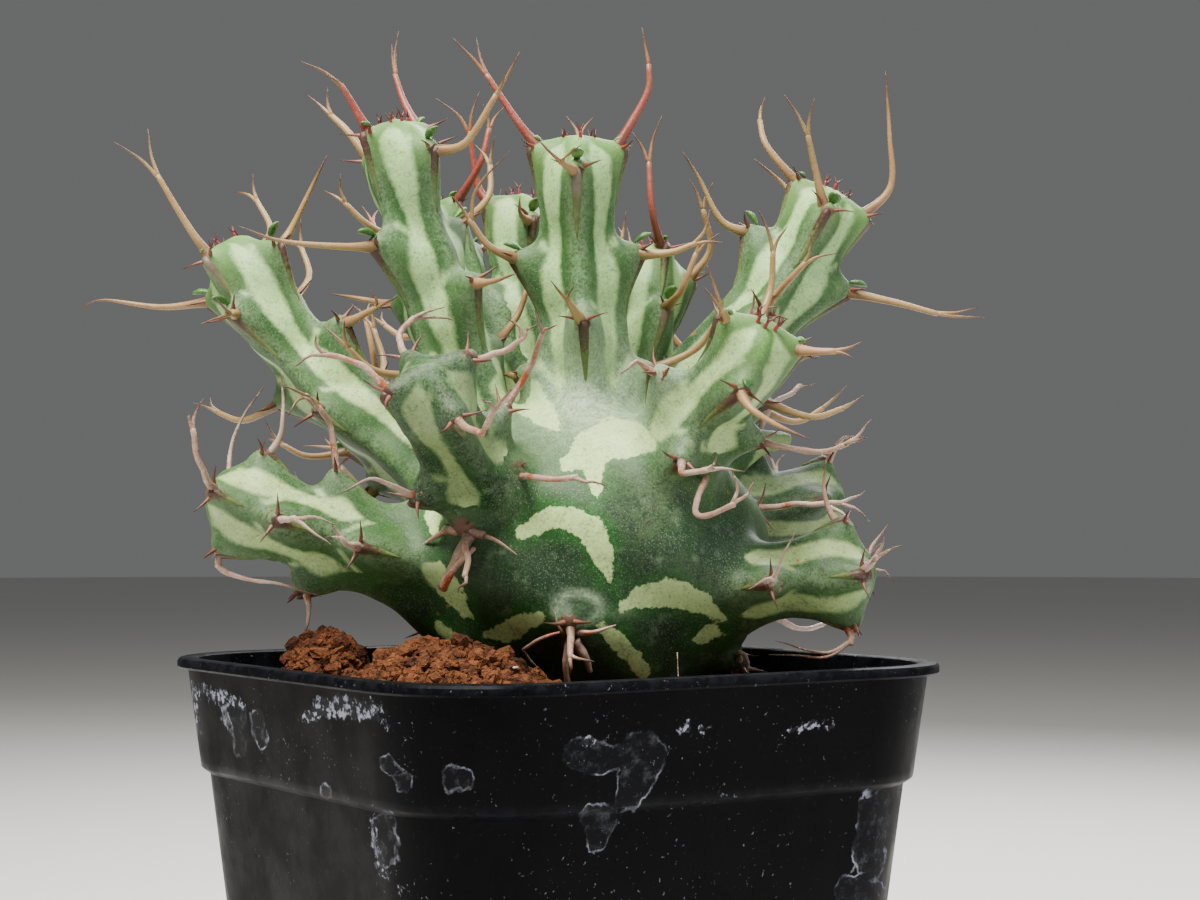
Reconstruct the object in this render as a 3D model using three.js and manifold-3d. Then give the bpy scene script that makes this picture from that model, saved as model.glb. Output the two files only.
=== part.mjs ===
/**
 * Potted spiny euphorbia: a globe-shaped succulent body that carries four-angled arms with forked
 * spines, pairs of prickles and small fleshy leaves, in crumbly soil in a square nursery pot.
 *
 * Millimetres, +Z up. The origin is the middle of the pot's underside, and the pot's walls face X
 * and Y. The plant stands turned in its pot, so it has a frame of its own: the origin on the pot's
 * axis at rim level, X to the right, Y to the back and Z up, as seen from the plant's front.
 */
import * as THREE from 'three';
import { mergeVertices } from 'three/addons/utils/BufferGeometryUtils.js';
import Module from 'manifold-3d';

const wasm = await Module();
wasm.setup();

// ---------------------------------------------------------------- driving dimensions

const GAP = 0.3; // clear space between neighbouring pieces

const POT = {
  height: 80,
  lipSide: 90,
  lipHeight: 1.6,
  lipOverhang: 1.3,
  bandHeight: 16,
  stepIn: 1.1,
  footSide: 68,
  wall: 1.3,
  floor: 2,
  lipCorner: 16.8,
  footCorner: 13,
  cornerSteps: 5,
  drainRadius: 4,
  drainReach: 21,
};

const SOIL = {
  depth: 9, // below the rim
  grain: 1.5, // radius of a crumb
  grains: 30,
  grainSpan: { x: 2, y: 2.6 }, // how far crumbs lie about a heap, in its spreads
  clearOfWall: 1,
  rings: [0.9, 0.78, 0.64, 0.48, 0.3, 0.14], // the bed's rings, as shares of its edge
  saddle: 0.3, // share of the lower heap that adds to the higher one
  heaps: [
    { x: -28, y: -18, rise: 12.5, spread: 8 },
    { x: -33, y: 7, rise: 13.5, spread: 5 },
  ],
};

const PLANT_TURN = THREE.MathUtils.degToRad(-34.3);

const BODY = {
  centre: new THREE.Vector3(5.5, 0, 14.5),
  radii: new THREE.Vector3(26, 25, 23),
  rings: 8,
  sides: 16,
  rootTop: 11,
  rootTip: 3,
  rootDepth: 34, // below the rim
};

// The plant's points are given as they show from the front, [across, up, depth]: across and up are
// read on the upright plane through the pot's axis, and depth is then taken along the line of sight.
const EYE = new THREE.Vector3(7.3, -314, 18.4);

const ARM = {
  ribs: 4,
  valley: 0.66, // radius between the ribs, as a share of the radius at a rib
  shoulder: 0.6, // how far a rib stands out half way between two levels
  tip: 0.6, // radius of the last ring, as a share of the radius there
  crown: 0.6, // how far the growing point stands over the last ring
};

const TUBERCLE = { length: 4.5, width: 3.6, sunk: 2.5, lean: 1.2 };
const SHIELD = { half: 0.62 };
const SPINE = {
  root: 0.85, // half width at the shield
  fork: 0.55, // half width at the fork
  length: 15,
  neck: 1.1, // how far it grows straight out of its shield
  clear: 1.2, // room between it and its own stem
  apart: 1.9, // room between it and another spine
  offStem: 2.6, // room between it and another stem
  tries: 14,
};
const STUMP = 2.2; // length of a spine or prickle that has no room to grow
const POT_REACH = 34; // how far from the pot's axis a spine may hang below the rim
const PRICKLE = { length: 4.2 };
const LEAF = { length: 4, width: 1.1, thickness: 0.55 };

const RISE_BY_LEVEL = [1, 2.4, 3.2, 3, 2.4, 1.8]; // how far a tubercle stands out of its rib
const LEAFY_LEVELS = [1, 2];

// Each arm: its middle line, the radius at its ribs, how far rib 0 is turned from the front, and
// the levels, from the tip down, where a pair of tubercles stands. The first pair is on ribs 0 and
// 2, or on 1 and 3 where firstPair is 1, and the pairs alternate. Spines that show from the front
// have their own points, under 'level/rib'; the others follow the rule in shieldGrowth. A rib that
// lies against a neighbour is listed in bare, and carries no tubercle at that level.
const ARMS = {
  arm_upper_left: {
    path: [[-9, 21.5, 0], [-17.5, 28.5, 0], [-28, 36.5, 2], [-39, 47.5, 4], [-47.5, 60, 5]],
    radii: [8.5, 7.5, 6.2, 5.8, 5.2],
    turn: -28,
    firstPair: 0,
    levels: [0.97, 0.9, 0.8, 0.6, 0.46, 0.28],
    bare: ['5/1'],
    spines: {
      '0/0': { main: [[-52, 62.5, 1], [-58, 71, -1]], tips: [[-64.5, 76, -2], [-59.5, 78, 0]] },
      '1/1': { main: [[-39, 62, 3], [-33, 74, 2]] },
      '1/3': { main: [[-57, 51.5, 10], [-66.5, 52.5, 11], [-69, 51.5, 11]] },
      '2/0': { main: [[-47, 50.5, -8]], tips: [[-49.5, 53, -12], [-51.5, 49, -12]] },
      '3/1': { main: [[-25.5, 51.5, -4]], tips: [[-26.5, 54, -5], [-22.5, 53, -6]] },
      '4/0': { main: [[-36, 38.5, -10]], tips: [[-39.5, 40, -13], [-38.5, 35.5, -13]] },
      '5/3': { main: [[-27.5, 22, 3], [-29.5, 20.5, 2]] },
    },
  },
  arm_top_left: {
    path: [[-9, 28, 0], [-14.5, 46, -4], [-19, 60, -6], [-21.5, 70, -7], [-23, 78, -8]],
    radii: [8.5, 6.6, 6, 5.5, 4.6],
    turn: 45,
    firstPair: 1,
    levels: [0.98, 0.9, 0.67, 0.5, 0.3],
    spines: {
      '0/1': { main: [[-22, 83, -2], [-23, 86, -1]], tips: [[-23.5, 90.5, 0], [-22.5, 92.5, 0]] },
      '0/3': {
        main: [[-29.5, 82, -12], [-31, 84.5, -13]],
        tips: [[-37, 88, -14], [-33.5, 86, -15]],
      },
      '1/0': { main: [[-13, 75.5, -14], [-8, 83, -17]], tips: [[-6.5, 86.5, -19], [-4.5, 89.5, -18]] },
      '1/2': { main: [[-30, 77.5, -2], [-32.5, 80, 0]], tips: [[-36, 83, 1], [-33, 84, 0]] },
      '2/3': { main: [[-31, 60.5, -16], [-40.5, 61.5, -19], [-46, 63.5, -20]] },
      '3/0': { main: [[-8, 55.5, -16], [-5, 56.5, -18]] },
      '3/2': { main: [[-26.5, 52.5, 5], [-32.5, 53.5, 8]] },
    },
  },
  arm_top_middle: {
    path: [[5.5, 30, 0], [5, 46.5, -3], [4, 61, -5], [4, 75.5, -6]],
    radii: [8.5, 7, 5.9, 5.3],
    turn: 0,
    firstPair: 1,
    levels: [0.98, 0.88, 0.62, 0.42, 0.24],
    spines: {
      '0/1': { main: [[12, 79, -6], [14.5, 84, -6], [14.5, 87.5, -6]], tips: [[13.5, 93, -6]] },
      '0/3': { main: [[-4.5, 78.5, -6], [-9.5, 86, -6]], tips: [[-14.5, 91.5, -6], [-11, 91.5, -5]] },
      '1/0': { main: [[1.5, 73, -19]], tips: [[-2, 76.5, -22], [4.5, 75.5, -22]] },
      '2/1': { main: [[17.5, 59.5, -7], [21.5, 61, -8]], tips: [[23.5, 66, -8], [25.5, 61, -8]] },
      '2/3': { main: [[-9, 60.5, -7], [-12, 64.5, -8]], tips: [[-14, 67.5, -8], [-3.5, 74.5, -9]] },
      '3/0': { main: [[2.5, 52.5, -17]], tips: [[0, 55.5, -20], [3.5, 54.5, -20]] },
    },
  },
  arm_upper_right: {
    path: [[10, 28, 4], [22, 40, 7], [31.5, 51, 8], [37.5, 60, 9], [41.5, 67.5, 10]],
    radii: [8.5, 7, 6.4, 6, 5],
    turn: 0,
    firstPair: 1,
    levels: [0.99, 0.9, 0.77, 0.56, 0.4],
    bare: ['4/3'],
    spines: {
      '0/1': { main: [[50, 69, 10], [50, 77, 9], [49.5, 86.5, 9]] },
      '1/0': { main: [[39, 72, 1], [38, 77, -1]], tips: [[34.5, 83, -2], [39, 82.5, -3]] },
      '1/2': { main: [[35, 69, 21], [30, 73.5, 20]] },
      '2/1': { main: [[51.5, 52, 7], [57, 50.5, 7]], tips: [[63, 51.5, 7], [64, 50, 7]] },
      '2/3': { main: [[25.5, 64, 8], [22, 70.5, 7], [19.5, 74.5, 6]] },
    },
  },
  arm_front_right: {
    path: [[13, 24, -8], [22, 35.5, -18], [28.5, 43, -25], [31.5, 48.5, -28]],
    radii: [6.6, 6.3, 5.5, 4.6],
    turn: 12,
    firstPair: 1,
    levels: [0.95, 0.8, 0.52, 0.4],
    spines: {
      '0/1': { main: [[39.5, 45, -30], [42, 45, -31]], tips: [[46, 46.5, -32], [44.5, 44, -32]] },
      '0/3': { main: [[25.5, 51, -31]], tips: [[22.5, 54.5, -33], [23, 58, -32]] },
      '1/0': { main: [[29.5, 36.5, -34], [32.5, 34.5, -35], [38, 32, -36]] },
      '2/3': { main: [[12.5, 43.5, -23], [10, 41.5, -26]] },
    },
  },
  arm_low_right: {
    path: [[13, 10.5, -4], [23.5, 10, -10], [35, 11.5, -14], [46.5, 12.5, -16]],
    radii: [8, 6.6, 5.6, 4.4],
    turn: 0,
    firstPair: 0,
    levels: [0.97, 0.9, 0.62],
    spines: {
      '0/0': { main: [[48, 15, -25]], tips: [[49, 18.5, -27], [51.5, 16.5, -27]] },
      '0/2': { main: [[47.5, 16.5, -6], [49.5, 19.5, -5]] },
      '1/1': { main: [[44, 2, -17]], tips: [[32, 0.5, -18], [33, 2.5, -19]] },
      '1/3': { main: [[40.5, 23, -14], [40.5, 29.5, -14]] },
      '2/0': { main: [[32.5, 11.5, -27]], tips: [[36, 18.5, -29], [29, 10, -30]] },
    },
  },
  arm_right_back: {
    path: [[14.5, 19, 8], [25, 21, 16], [33.5, 22, 20], [42, 23.5, 22]],
    radii: [8, 6.2, 5.8, 4.6],
    turn: 0,
    firstPair: 1,
    levels: [0.96, 0.84, 0.6, 0.4],
    bare: ['2/1', '3/2'],
    spines: {
      '0/1': { main: [[45, 15.5, 22], [49, 17, 22]] },
      '0/3': { main: [[43, 31.5, 21], [46, 32.5, 20]] },
      '1/0': { main: [[42, 21.5, 9], [45, 19, 7]] },
    },
  },
  arm_low_left: {
    path: [[-9, 12, -3], [-22, 15, -9], [-34, 18.5, -11], [-42.5, 21.5, -12], [-49, 24.5, -12]],
    radii: [11, 8.6, 6.2, 5.8, 4.6],
    turn: 0,
    firstPair: 0,
    levels: [0.97, 0.88, 0.74, 0.6, 0.46],
    spines: {
      '0/0': { main: [[-51, 28, -22], [-52.5, 33.5, -24]], tips: [[-53.5, 36, -25], [-51, 38, -24]] },
      '0/2': { main: [[-47.5, 27, -2], [-46.5, 33, 0], [-42, 40, 0]] },
      '1/1': { main: [[-39.5, 32.5, -12], [-39.5, 42, -12]] },
      '1/3': { main: [[-48.5, 13.5, -12], [-40, 12, -13], [-33.5, 9, -14]] },
      '2/0': { main: [[-37.5, 20.5, -25]], tips: [[-31, 19.5, -29], [-32, 16.5, -29]] },
      '3/3': { main: [[-35.5, 6, -12], [-36, 3, -12]] },
    },
  },
  arm_front_left: {
    path: [[-7, 21, -7], [-12.5, 28.5, -22], [-16.5, 36.5, -32], [-18, 42, -37]],
    radii: [5.6, 5.8, 5.8, 5],
    turn: 22,
    firstPair: 1,
    levels: [0.97, 0.9, 0.5],
    spines: {
      '0/1': { main: [[-7.5, 45, -33.5], [-4, 47, -34]], tips: [[-2, 49, -35], [-6.5, 50, -35]] },
      '0/3': { main: [[-30, 44, -38], [-33.5, 44.5, -39]], tips: [[-38, 42.5, -40], [-34.5, 47.5, -40]] },
      '1/2': { main: [[-22.5, 47, -27], [-20, 50, -26]], tips: [[-15.5, 51.5, -26], [-14, 49.5, -26]] },
      '2/3': { main: [[-26.5, 26, -34], [-31, 24, -36]] },
    },
  },
  arm_behind_top_left: {
    path: [[-3, 31, 8], [-10.5, 47.5, 14], [-15, 58, 18], [-17.5, 65.5, 20]],
    radii: [7.5, 5.8, 5.4, 4.6],
    turn: 50,
    firstPair: 0,
    levels: [0.96, 0.82, 0.6, 0.4],
    bare: ['2/0', '3/1'],
    spines: {},
  },
  arm_behind_top_middle: {
    path: [[1.5, 31, 8], [-2, 46.5, 13], [-4.5, 57, 17], [-4.5, 67, 20]],
    radii: [7.5, 5.4, 4.8, 4.4],
    turn: 20,
    firstPair: 1,
    levels: [0.96, 0.84, 0.6],
    spines: {
      '0/3': { main: [[-9.5, 68.5, 19], [-12, 77.5, 18]], tips: [[-17, 82.5, 18], [-10.5, 83.5, 18]] },
      '1/0': { main: [[-4.5, 65.5, 8], [-4.5, 68, 7]] },
    },
  },
  arm_behind_top_right: {
    path: [[9.5, 31, 6], [13, 43.5, 12], [14.5, 52.5, 16], [15, 59.5, 18]],
    radii: [7.5, 5.6, 4.8, 4.2],
    turn: 20,
    firstPair: 0,
    levels: [0.96, 0.86, 0.6, 0.4],
    spines: {
      '0/0': { main: [[15, 66, 9], [14.5, 73, 9]], tips: [[12, 77.5, 9], [16.5, 80, 9]] },
      '1/1': { main: [[23.5, 60, 18], [22.5, 66, 16]], tips: [[20.5, 70.5, 15], [24, 70, 15]] },
      '2/0': { main: [[19.5, 54.5, 2], [21.5, 59.5, 1]], tips: [[22.5, 62.5, 0], [25, 62.5, 0]] },
      '3/1': { main: [[25.5, 41.5, 14], [29, 44, 14]] },
    },
  },
  arm_back_left: {
    path: [[-3, 20, 8], [-15, 26, 21], [-22, 31, 29], [-26, 36, 33]],
    radii: [7.5, 6.2, 5.6, 4.6],
    turn: 30,
    firstPair: 0,
    levels: [0.96, 0.84, 0.6, 0.4],
    bare: ['2/2'],
    spines: {},
  },
  arm_back_middle: {
    path: [[6, 19, 10], [7, 22, 26], [8, 27, 36], [9, 33, 42]],
    radii: [7.5, 6.2, 5.6, 4.6],
    turn: 0,
    firstPair: 1,
    levels: [0.96, 0.84, 0.6, 0.4],
    spines: {},
  },
  arm_back_right: {
    path: [[12, 24, 8], [20, 32, 21], [25, 38, 29], [27, 43, 34]],
    radii: [7.5, 6.2, 5.6, 4.6],
    turn: 15,
    firstPair: 0,
    levels: [0.96, 0.84, 0.6, 0.4],
    spines: {},
  },
  arm_back_low_left: {
    path: [[-3, 11, 8], [-14, 11.5, 21], [-21, 14, 29], [-24, 18, 33]],
    radii: [7.5, 6.2, 5.4, 4.4],
    turn: 0,
    firstPair: 1,
    levels: [0.96, 0.82, 0.56],
    spines: {},
  },
  arm_back_low_right: {
    path: [[13, 11, 10], [21, 9, 23], [25.5, 10, 31], [27.5, 13.5, 37]],
    radii: [7.5, 6.2, 5.4, 4.4],
    turn: 0,
    firstPair: 0,
    levels: [0.96, 0.82, 0.56],
    spines: {},
  },
};

// Old tubercles on the body itself: where each shows from the front, how far it stands out, and
// its dry spine. Those at the back have no points of their own and are given by their bearing.
const BODY_TUBERCLES = [
  { seen: [-11, 17.5], rise: 3, main: [[-12.5, 12, -33]], tips: [[-13.5, 9.5, -33]] },
  { seen: [-4.5, 25.5], rise: 2, main: [[-1, 26, -31], [4, 26.5, -33]], tips: [[8.5, 25, -34]] },
  {
    seen: [22, 25.5],
    rise: 3,
    main: [[22.5, 21, -30], [27, 22.5, -33]],
    tips: [[30, 26, -33], [26.5, 28, -33]],
  },
  { seen: [3, 5], rise: 2.5, main: [[3, 0, -30]], tips: [[3, -2.5, -30], [6.5, -0.5, -30]] },
  { seen: [25, 0], rise: 4, main: [[28, 0.5, -11], [29, -2.5, -11]] },
];
const BACK_TUBERCLES = { bearings: [18, 94, 163], heights: [1, 0, -2], rise: 2.5 };

const COLOUR = {
  pot: '#17181b',
  soil: '#7a4a2c',
  body: '#6f9468',
  arm: '#83a877',
};

// ---------------------------------------------------------------- solids

/** A repeatable stream of numbers from 0 to 1. */
function randomStream(seed) {
  let state = seed;
  return () => {
    state = (Math.imul(state, 1664525) + 1013904223) >>> 0;
    return state / 4294967296;
  };
}

/** Turns a closed geometry into a solid that can be joined and cut. */
function solidOf(geometry) {
  const bare = new THREE.BufferGeometry();
  bare.setAttribute('position', geometry.getAttribute('position').clone());
  if (geometry.index) bare.setIndex(geometry.index.clone());
  const merged = mergeVertices(bare, 1e-5);
  const mesh = new wasm.Mesh({
    numProp: 3,
    vertProperties: new Float32Array(merged.getAttribute('position').array),
    triVerts: new Uint32Array(merged.index.array),
  });
  return new wasm.Manifold(mesh);
}

/** Turns a solid back into a geometry, keeping its largest body where a cut leaves scraps. */
function geometryOf(solid) {
  const bodies = solid.decompose();
  const largest = bodies.reduce((best, body) => (body.volume() > best.volume() ? body : best));
  const mesh = largest.getMesh();
  const geometry = new THREE.BufferGeometry();
  geometry.setAttribute('position', new THREE.BufferAttribute(new Float32Array(mesh.vertProperties), 3));
  geometry.setIndex(new THREE.BufferAttribute(new Uint32Array(mesh.triVerts), 1));
  geometry.computeVertexNormals();
  return geometry;
}

/** A closed skin through rings of points, each ring counter-clockwise as seen from the last one. */
function loft(rings, capDepth = 0) {
  const sides = rings[0].length;
  const positions = rings.flat().flatMap((p) => [p.x, p.y, p.z]);
  const indices = [];
  for (let ring = 0; ring + 1 < rings.length; ring += 1) {
    for (let side = 0; side < sides; side += 1) {
      const a = ring * sides + side;
      const b = ring * sides + ((side + 1) % sides);
      indices.push(a, b, b + sides, a, b + sides, a + sides);
    }
  }
  const caps = [
    { ring: rings[0], first: 0, flip: true },
    { ring: rings[rings.length - 1], first: (rings.length - 1) * sides, flip: false },
  ];
  for (const { ring, first, flip } of caps) {
    const middle = ring.reduce((sum, p) => sum.add(p), new THREE.Vector3()).divideScalar(sides);
    if (!flip && capDepth > 0) {
      const inner = rings[rings.length - 2];
      const before = inner.reduce((sum, p) => sum.add(p), new THREE.Vector3()).divideScalar(sides);
      middle.addScaledVector(middle.clone().sub(before).normalize(), capDepth);
    }
    const centre = positions.length / 3;
    positions.push(middle.x, middle.y, middle.z);
    for (let side = 0; side < sides; side += 1) {
      const a = first + side;
      const b = first + ((side + 1) % sides);
      if (flip) indices.push(centre, b, a);
      else indices.push(centre, a, b);
    }
  }
  const geometry = new THREE.BufferGeometry();
  geometry.setAttribute('position', new THREE.Float32BufferAttribute(positions, 3));
  geometry.setIndex(indices);
  return geometry;
}

/** A skin that is put together triangle by triangle, so that spines grow out of it without seams. */
class Skin {
  constructor() {
    this.positions = [];
    this.indices = [];
  }

  point(place) {
    this.positions.push(place.x, place.y, place.z);
    return this.positions.length / 3 - 1;
  }

  points(places) {
    return places.map((place) => this.point(place));
  }

  face(...corners) {
    for (let index = 2; index < corners.length; index += 1) {
      this.indices.push(corners[0], corners[index - 1], corners[index]);
    }
  }

  /** Walls between two rings with the same number of points. */
  band(from, to) {
    from.forEach((corner, index) => {
      const next = (index + 1) % from.length;
      this.face(corner, from[next], to[next], to[index]);
    });
  }

  /** A cone from a ring to a point. */
  cone(ring, tip) {
    const top = this.point(tip);
    ring.forEach((corner, index) => this.face(corner, ring[(index + 1) % ring.length], top));
  }

  geometry() {
    const geometry = new THREE.BufferGeometry();
    geometry.setAttribute('position', new THREE.Float32BufferAttribute(this.positions, 3));
    geometry.setIndex(this.indices);
    return geometry;
  }
}

/** The corners of a small square: lower left, lower right, upper right, upper left. */
function squareCorners(centre, across, along, half) {
  return [[-1, -1], [1, -1], [1, 1], [-1, 1]].map(([right, up]) => centre.clone()
    .addScaledVector(across, right * half)
    .addScaledVector(along, up * half));
}

// ---------------------------------------------------------------- plant frame

/** Moves a point given as it shows from the front to its place in the plant's frame. */
function seen([across, up, depth]) {
  const stretch = (depth - EYE.y) / -EYE.y;
  return new THREE.Vector3(
    EYE.x + (across - EYE.x) * stretch,
    depth,
    EYE.z + (up - EYE.z) * stretch,
  );
}

/** The middle line of an arm, with its radius, its tangent and its front and side directions. */
class ArmLine {
  constructor({ path, radii, turn }) {
    this.curve = new THREE.CatmullRomCurve3(path.map(seen), false, 'centripetal');
    this.radii = radii;
    this.turn = THREE.MathUtils.degToRad(turn);
  }

  /** The place, directions and rib radius at a share of the arm's length. */
  at(share) {
    const place = this.curve.getPointAt(share);
    const ahead = this.curve.getTangentAt(share);
    const front = new THREE.Vector3(0, -1, 0);
    front.addScaledVector(ahead, -front.dot(ahead)).normalize();
    const side = new THREE.Vector3().crossVectors(ahead, front);
    const spot = share * (this.radii.length - 1);
    const low = Math.min(Math.floor(spot), this.radii.length - 2);
    const radius = THREE.MathUtils.lerp(this.radii[low], this.radii[low + 1], spot - low);
    return { place, ahead, front, side, radius };
  }

  /** The outward direction of a rib at a share of the arm's length. */
  ribDirection(share, rib) {
    const { front, side } = this.at(share);
    const angle = this.turn + (rib * Math.PI * 2) / ARM.ribs;
    return front.multiplyScalar(Math.cos(angle)).addScaledVector(side, Math.sin(angle));
  }
}

// ---------------------------------------------------------------- arms

/** The shares of the arm's length where its stem has a ring, with the level that peaks there. */
function stemStations(levels) {
  const upwards = [...levels].reverse();
  const stations = [{ share: 0 }];
  let below = 0;
  upwards.forEach((share, index) => {
    stations.push({ share: (below + share) / 2 });
    stations.push({ share, level: levels.length - 1 - index });
    below = share;
  });
  stations.push({ share: 1 });
  return stations;
}

/** Where the tip of a tubercle stands, and the directions there. */
function tubercleTip(plan, line, level, rib, grow = 0) {
  const share = plan.levels[level];
  const { place, ahead, radius } = line.at(share);
  const outward = line.ribDirection(share, rib);
  const room = ((plan.levels[level - 1] ?? 1) - share) * line.curve.getLength();
  const lean = Math.min(TUBERCLE.lean, room * 0.3);
  const centre = place.clone()
    .addScaledVector(outward, radius + RISE_BY_LEVEL[level] + grow)
    .addScaledVector(ahead, lean);
  return { centre, outward, ahead };
}

/** Whether a rib carries a tubercle at a level. */
function hasTubercle(plan, level, rib) {
  return (rib + plan.firstPair + level) % 2 === 0 && !plan.bare?.includes(`${level}/${rib}`);
}

/** The rings of an arm's ribbed stem, each point with its place and, at a tubercle, its rib. */
function stemRings(plan, line, grow) {
  const sides = ARM.ribs * 2;
  return stemStations(plan.levels).map(({ share, level }) => {
    const { place, ahead, front, side, radius } = line.at(share);
    const atEnd = share === 1;
    const between = level === undefined && !atEnd && share > 0;
    return Array.from({ length: sides }, (_, step) => {
      const rib = step / 2;
      const onRib = step % 2 === 0;
      if (onRib && level !== undefined && hasTubercle(plan, level, rib)) {
        return { place: tubercleTip(plan, line, level, rib, grow).centre, level, rib };
      }
      const angle = line.turn + (step / sides) * Math.PI * 2;
      const reach = radius * (atEnd ? ARM.tip : 1) * (onRib ? 1 : ARM.valley)
        + (onRib && between ? ARM.shoulder : 0) + grow;
      return {
        place: place.clone()
          .addScaledVector(front, Math.cos(angle) * reach)
          .addScaledVector(side, Math.sin(angle) * reach)
          .addScaledVector(ahead, atEnd ? grow : 0),
      };
    });
  });
}

/** The plain ribbed stem of an arm, grown outwards to cut its neighbours clear. */
function grownStem(plan, line) {
  return loft(stemRings(plan, line, GAP).map((ring) => ring.map(({ place }) => place)), ARM.crown);
}

/** The spine that shows at a tubercle of an arm, moved clear of the arm's own stem. */
function shownSpine(plan, line, level, rib) {
  const shown = plan.spines[`${level}/${rib}`];
  if (!shown) return null;
  const spine = { main: shown.main.map(seen), tips: (shown.tips ?? []).map(seen) };
  return spineClearOfStem(spine, tubercleTip(plan, line, level, rib), line);
}

/** One arm: its ribbed stem with tubercles, spines, prickles and leaves as one skin. */
function armSkin(name, plan, line, thicket, random) {
  const skin = new Skin();
  const rings = stemRings(plan, line, 0);
  const sides = rings[0].length;
  const grid = rings.map((ring) => ring.map(({ place, rib, level }) => {
    if (rib === undefined) return { all: skin.point(place) };
    const tip = tubercleTip(plan, line, level, rib);
    const across = new THREE.Vector3().crossVectors(tip.ahead, tip.outward).normalize();
    const along = new THREE.Vector3().crossVectors(tip.outward, across);
    return { shield: skin.points(squareCorners(tip.centre, across, along, SHIELD.half)), tip, rib, level };
  }));
  const corner = (knot, index) => knot.all ?? knot.shield[index];
  for (let ring = 0; ring + 1 < grid.length; ring += 1) {
    for (let step = 0; step < sides; step += 1) {
      const next = (step + 1) % sides;
      skin.face(
        corner(grid[ring][step], 2),
        corner(grid[ring][next], 3),
        corner(grid[ring + 1][next], 0),
        corner(grid[ring + 1][step], 1),
      );
    }
  }
  grid.forEach((ring, index) => ring.forEach(({ shield, tip, rib, level }, step) => {
    if (!shield) return;
    const neighbours = {
      left: ring[(step + sides - 1) % sides].all,
      right: ring[(step + 1) % sides].all,
      below: grid[index - 1][step].all,
      above: grid[index + 1][step].all,
    };
    const shown = shownSpine(plan, line, level, rib);
    const growth = shieldGrowth(`${name} ${level}/${rib}`, shown, tip, thicket, random);
    addShield(skin, shield, neighbours, tip, growth, LEAFY_LEVELS.includes(level));
  }));
  const ids = (ring) => ring.map((knot) => knot.all);
  const crown = line.at(1);
  skin.cone(ids(grid[0]).reverse(), line.at(0).place);
  skin.cone(ids(grid[grid.length - 1]), crown.place.addScaledVector(crown.ahead, ARM.crown));
  return skin.geometry();
}

/** Moves a spine's points out from the arm's middle line until they pass its own stem clear. */
function spineClearOfStem({ main, tips }, { centre }, line) {
  const spots = Array.from({ length: 31 }, (_, step) => line.at(step / 30));
  const nearest = (place) => spots.reduce((best, spot) => (
    spot.place.distanceTo(place) < best.place.distanceTo(place) ? spot : best));
  const stand = centre.distanceTo(nearest(centre).place);
  const clear = (place) => {
    const foot = nearest(place).place;
    const away = place.clone().sub(foot);
    return foot.clone().add(away.setLength(Math.max(away.length(), stand + SPINE.clear)));
  };
  return { main: main.map(clear), tips: tips.map(clear) };
}

/** Adds a spine to a skin: a tapering rod that starts on a square ring and ends in its tips. */
function addSpine(skin, ring, centre, outward, across, along, { main, tips }) {
  const neck = centre.clone()
    .addScaledVector(outward, SPINE.neck)
    .addScaledVector(main[0].clone().sub(centre).normalize(), SPINE.neck * 0.5);
  const clear = main.filter((place, index) => index === main.length - 1
    || place.distanceTo(centre) > SPINE.neck * 3);
  const stops = [centre, neck, ...clear];
  const last = stops.length - 1;
  let lower = ring;
  const right = across.clone();
  const up = along.clone();
  let before = outward.clone();
  for (let index = 1; index <= last; index += 1) {
    const to = stops[Math.min(index + 1, last)];
    const ahead = to.clone().sub(stops[index - 1]).normalize();
    const turn = new THREE.Quaternion().setFromUnitVectors(before, ahead);
    right.applyQuaternion(turn);
    up.applyQuaternion(turn);
    before = ahead;
    if (index === last && tips.length === 0) {
      skin.cone(lower, stops[index]);
      return;
    }
    const half = THREE.MathUtils.lerp(SPINE.root, SPINE.fork, index / last) * Math.SQRT1_2;
    const upper = skin.points(squareCorners(stops[index], right, up, half));
    skin.band(lower, upper);
    lower = upper;
  }
  const fork = stops[last];
  if (tips.length === 1) {
    skin.cone(lower, tips[0]);
    return;
  }
  const spread = tips[1].clone().sub(tips[0]);
  const sideways = Math.abs(spread.dot(right)) > Math.abs(spread.dot(up));
  const ordered = spread.dot(sideways ? right : up) > 0 ? tips : [tips[1], tips[0]];
  const [a, b, c, d] = sideways ? lower : [lower[1], lower[2], lower[3], lower[0]];
  const middle = ordered[0].clone().add(ordered[1]).multiplyScalar(0.5);
  const crotch = skin.point(fork.clone().lerp(middle, 0.08));
  skin.face(a, b, crotch);
  skin.face(c, d, crotch);
  skin.cone([d, a, crotch], ordered[0]);
  skin.cone([b, c, crotch], ordered[1]);
}

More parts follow.
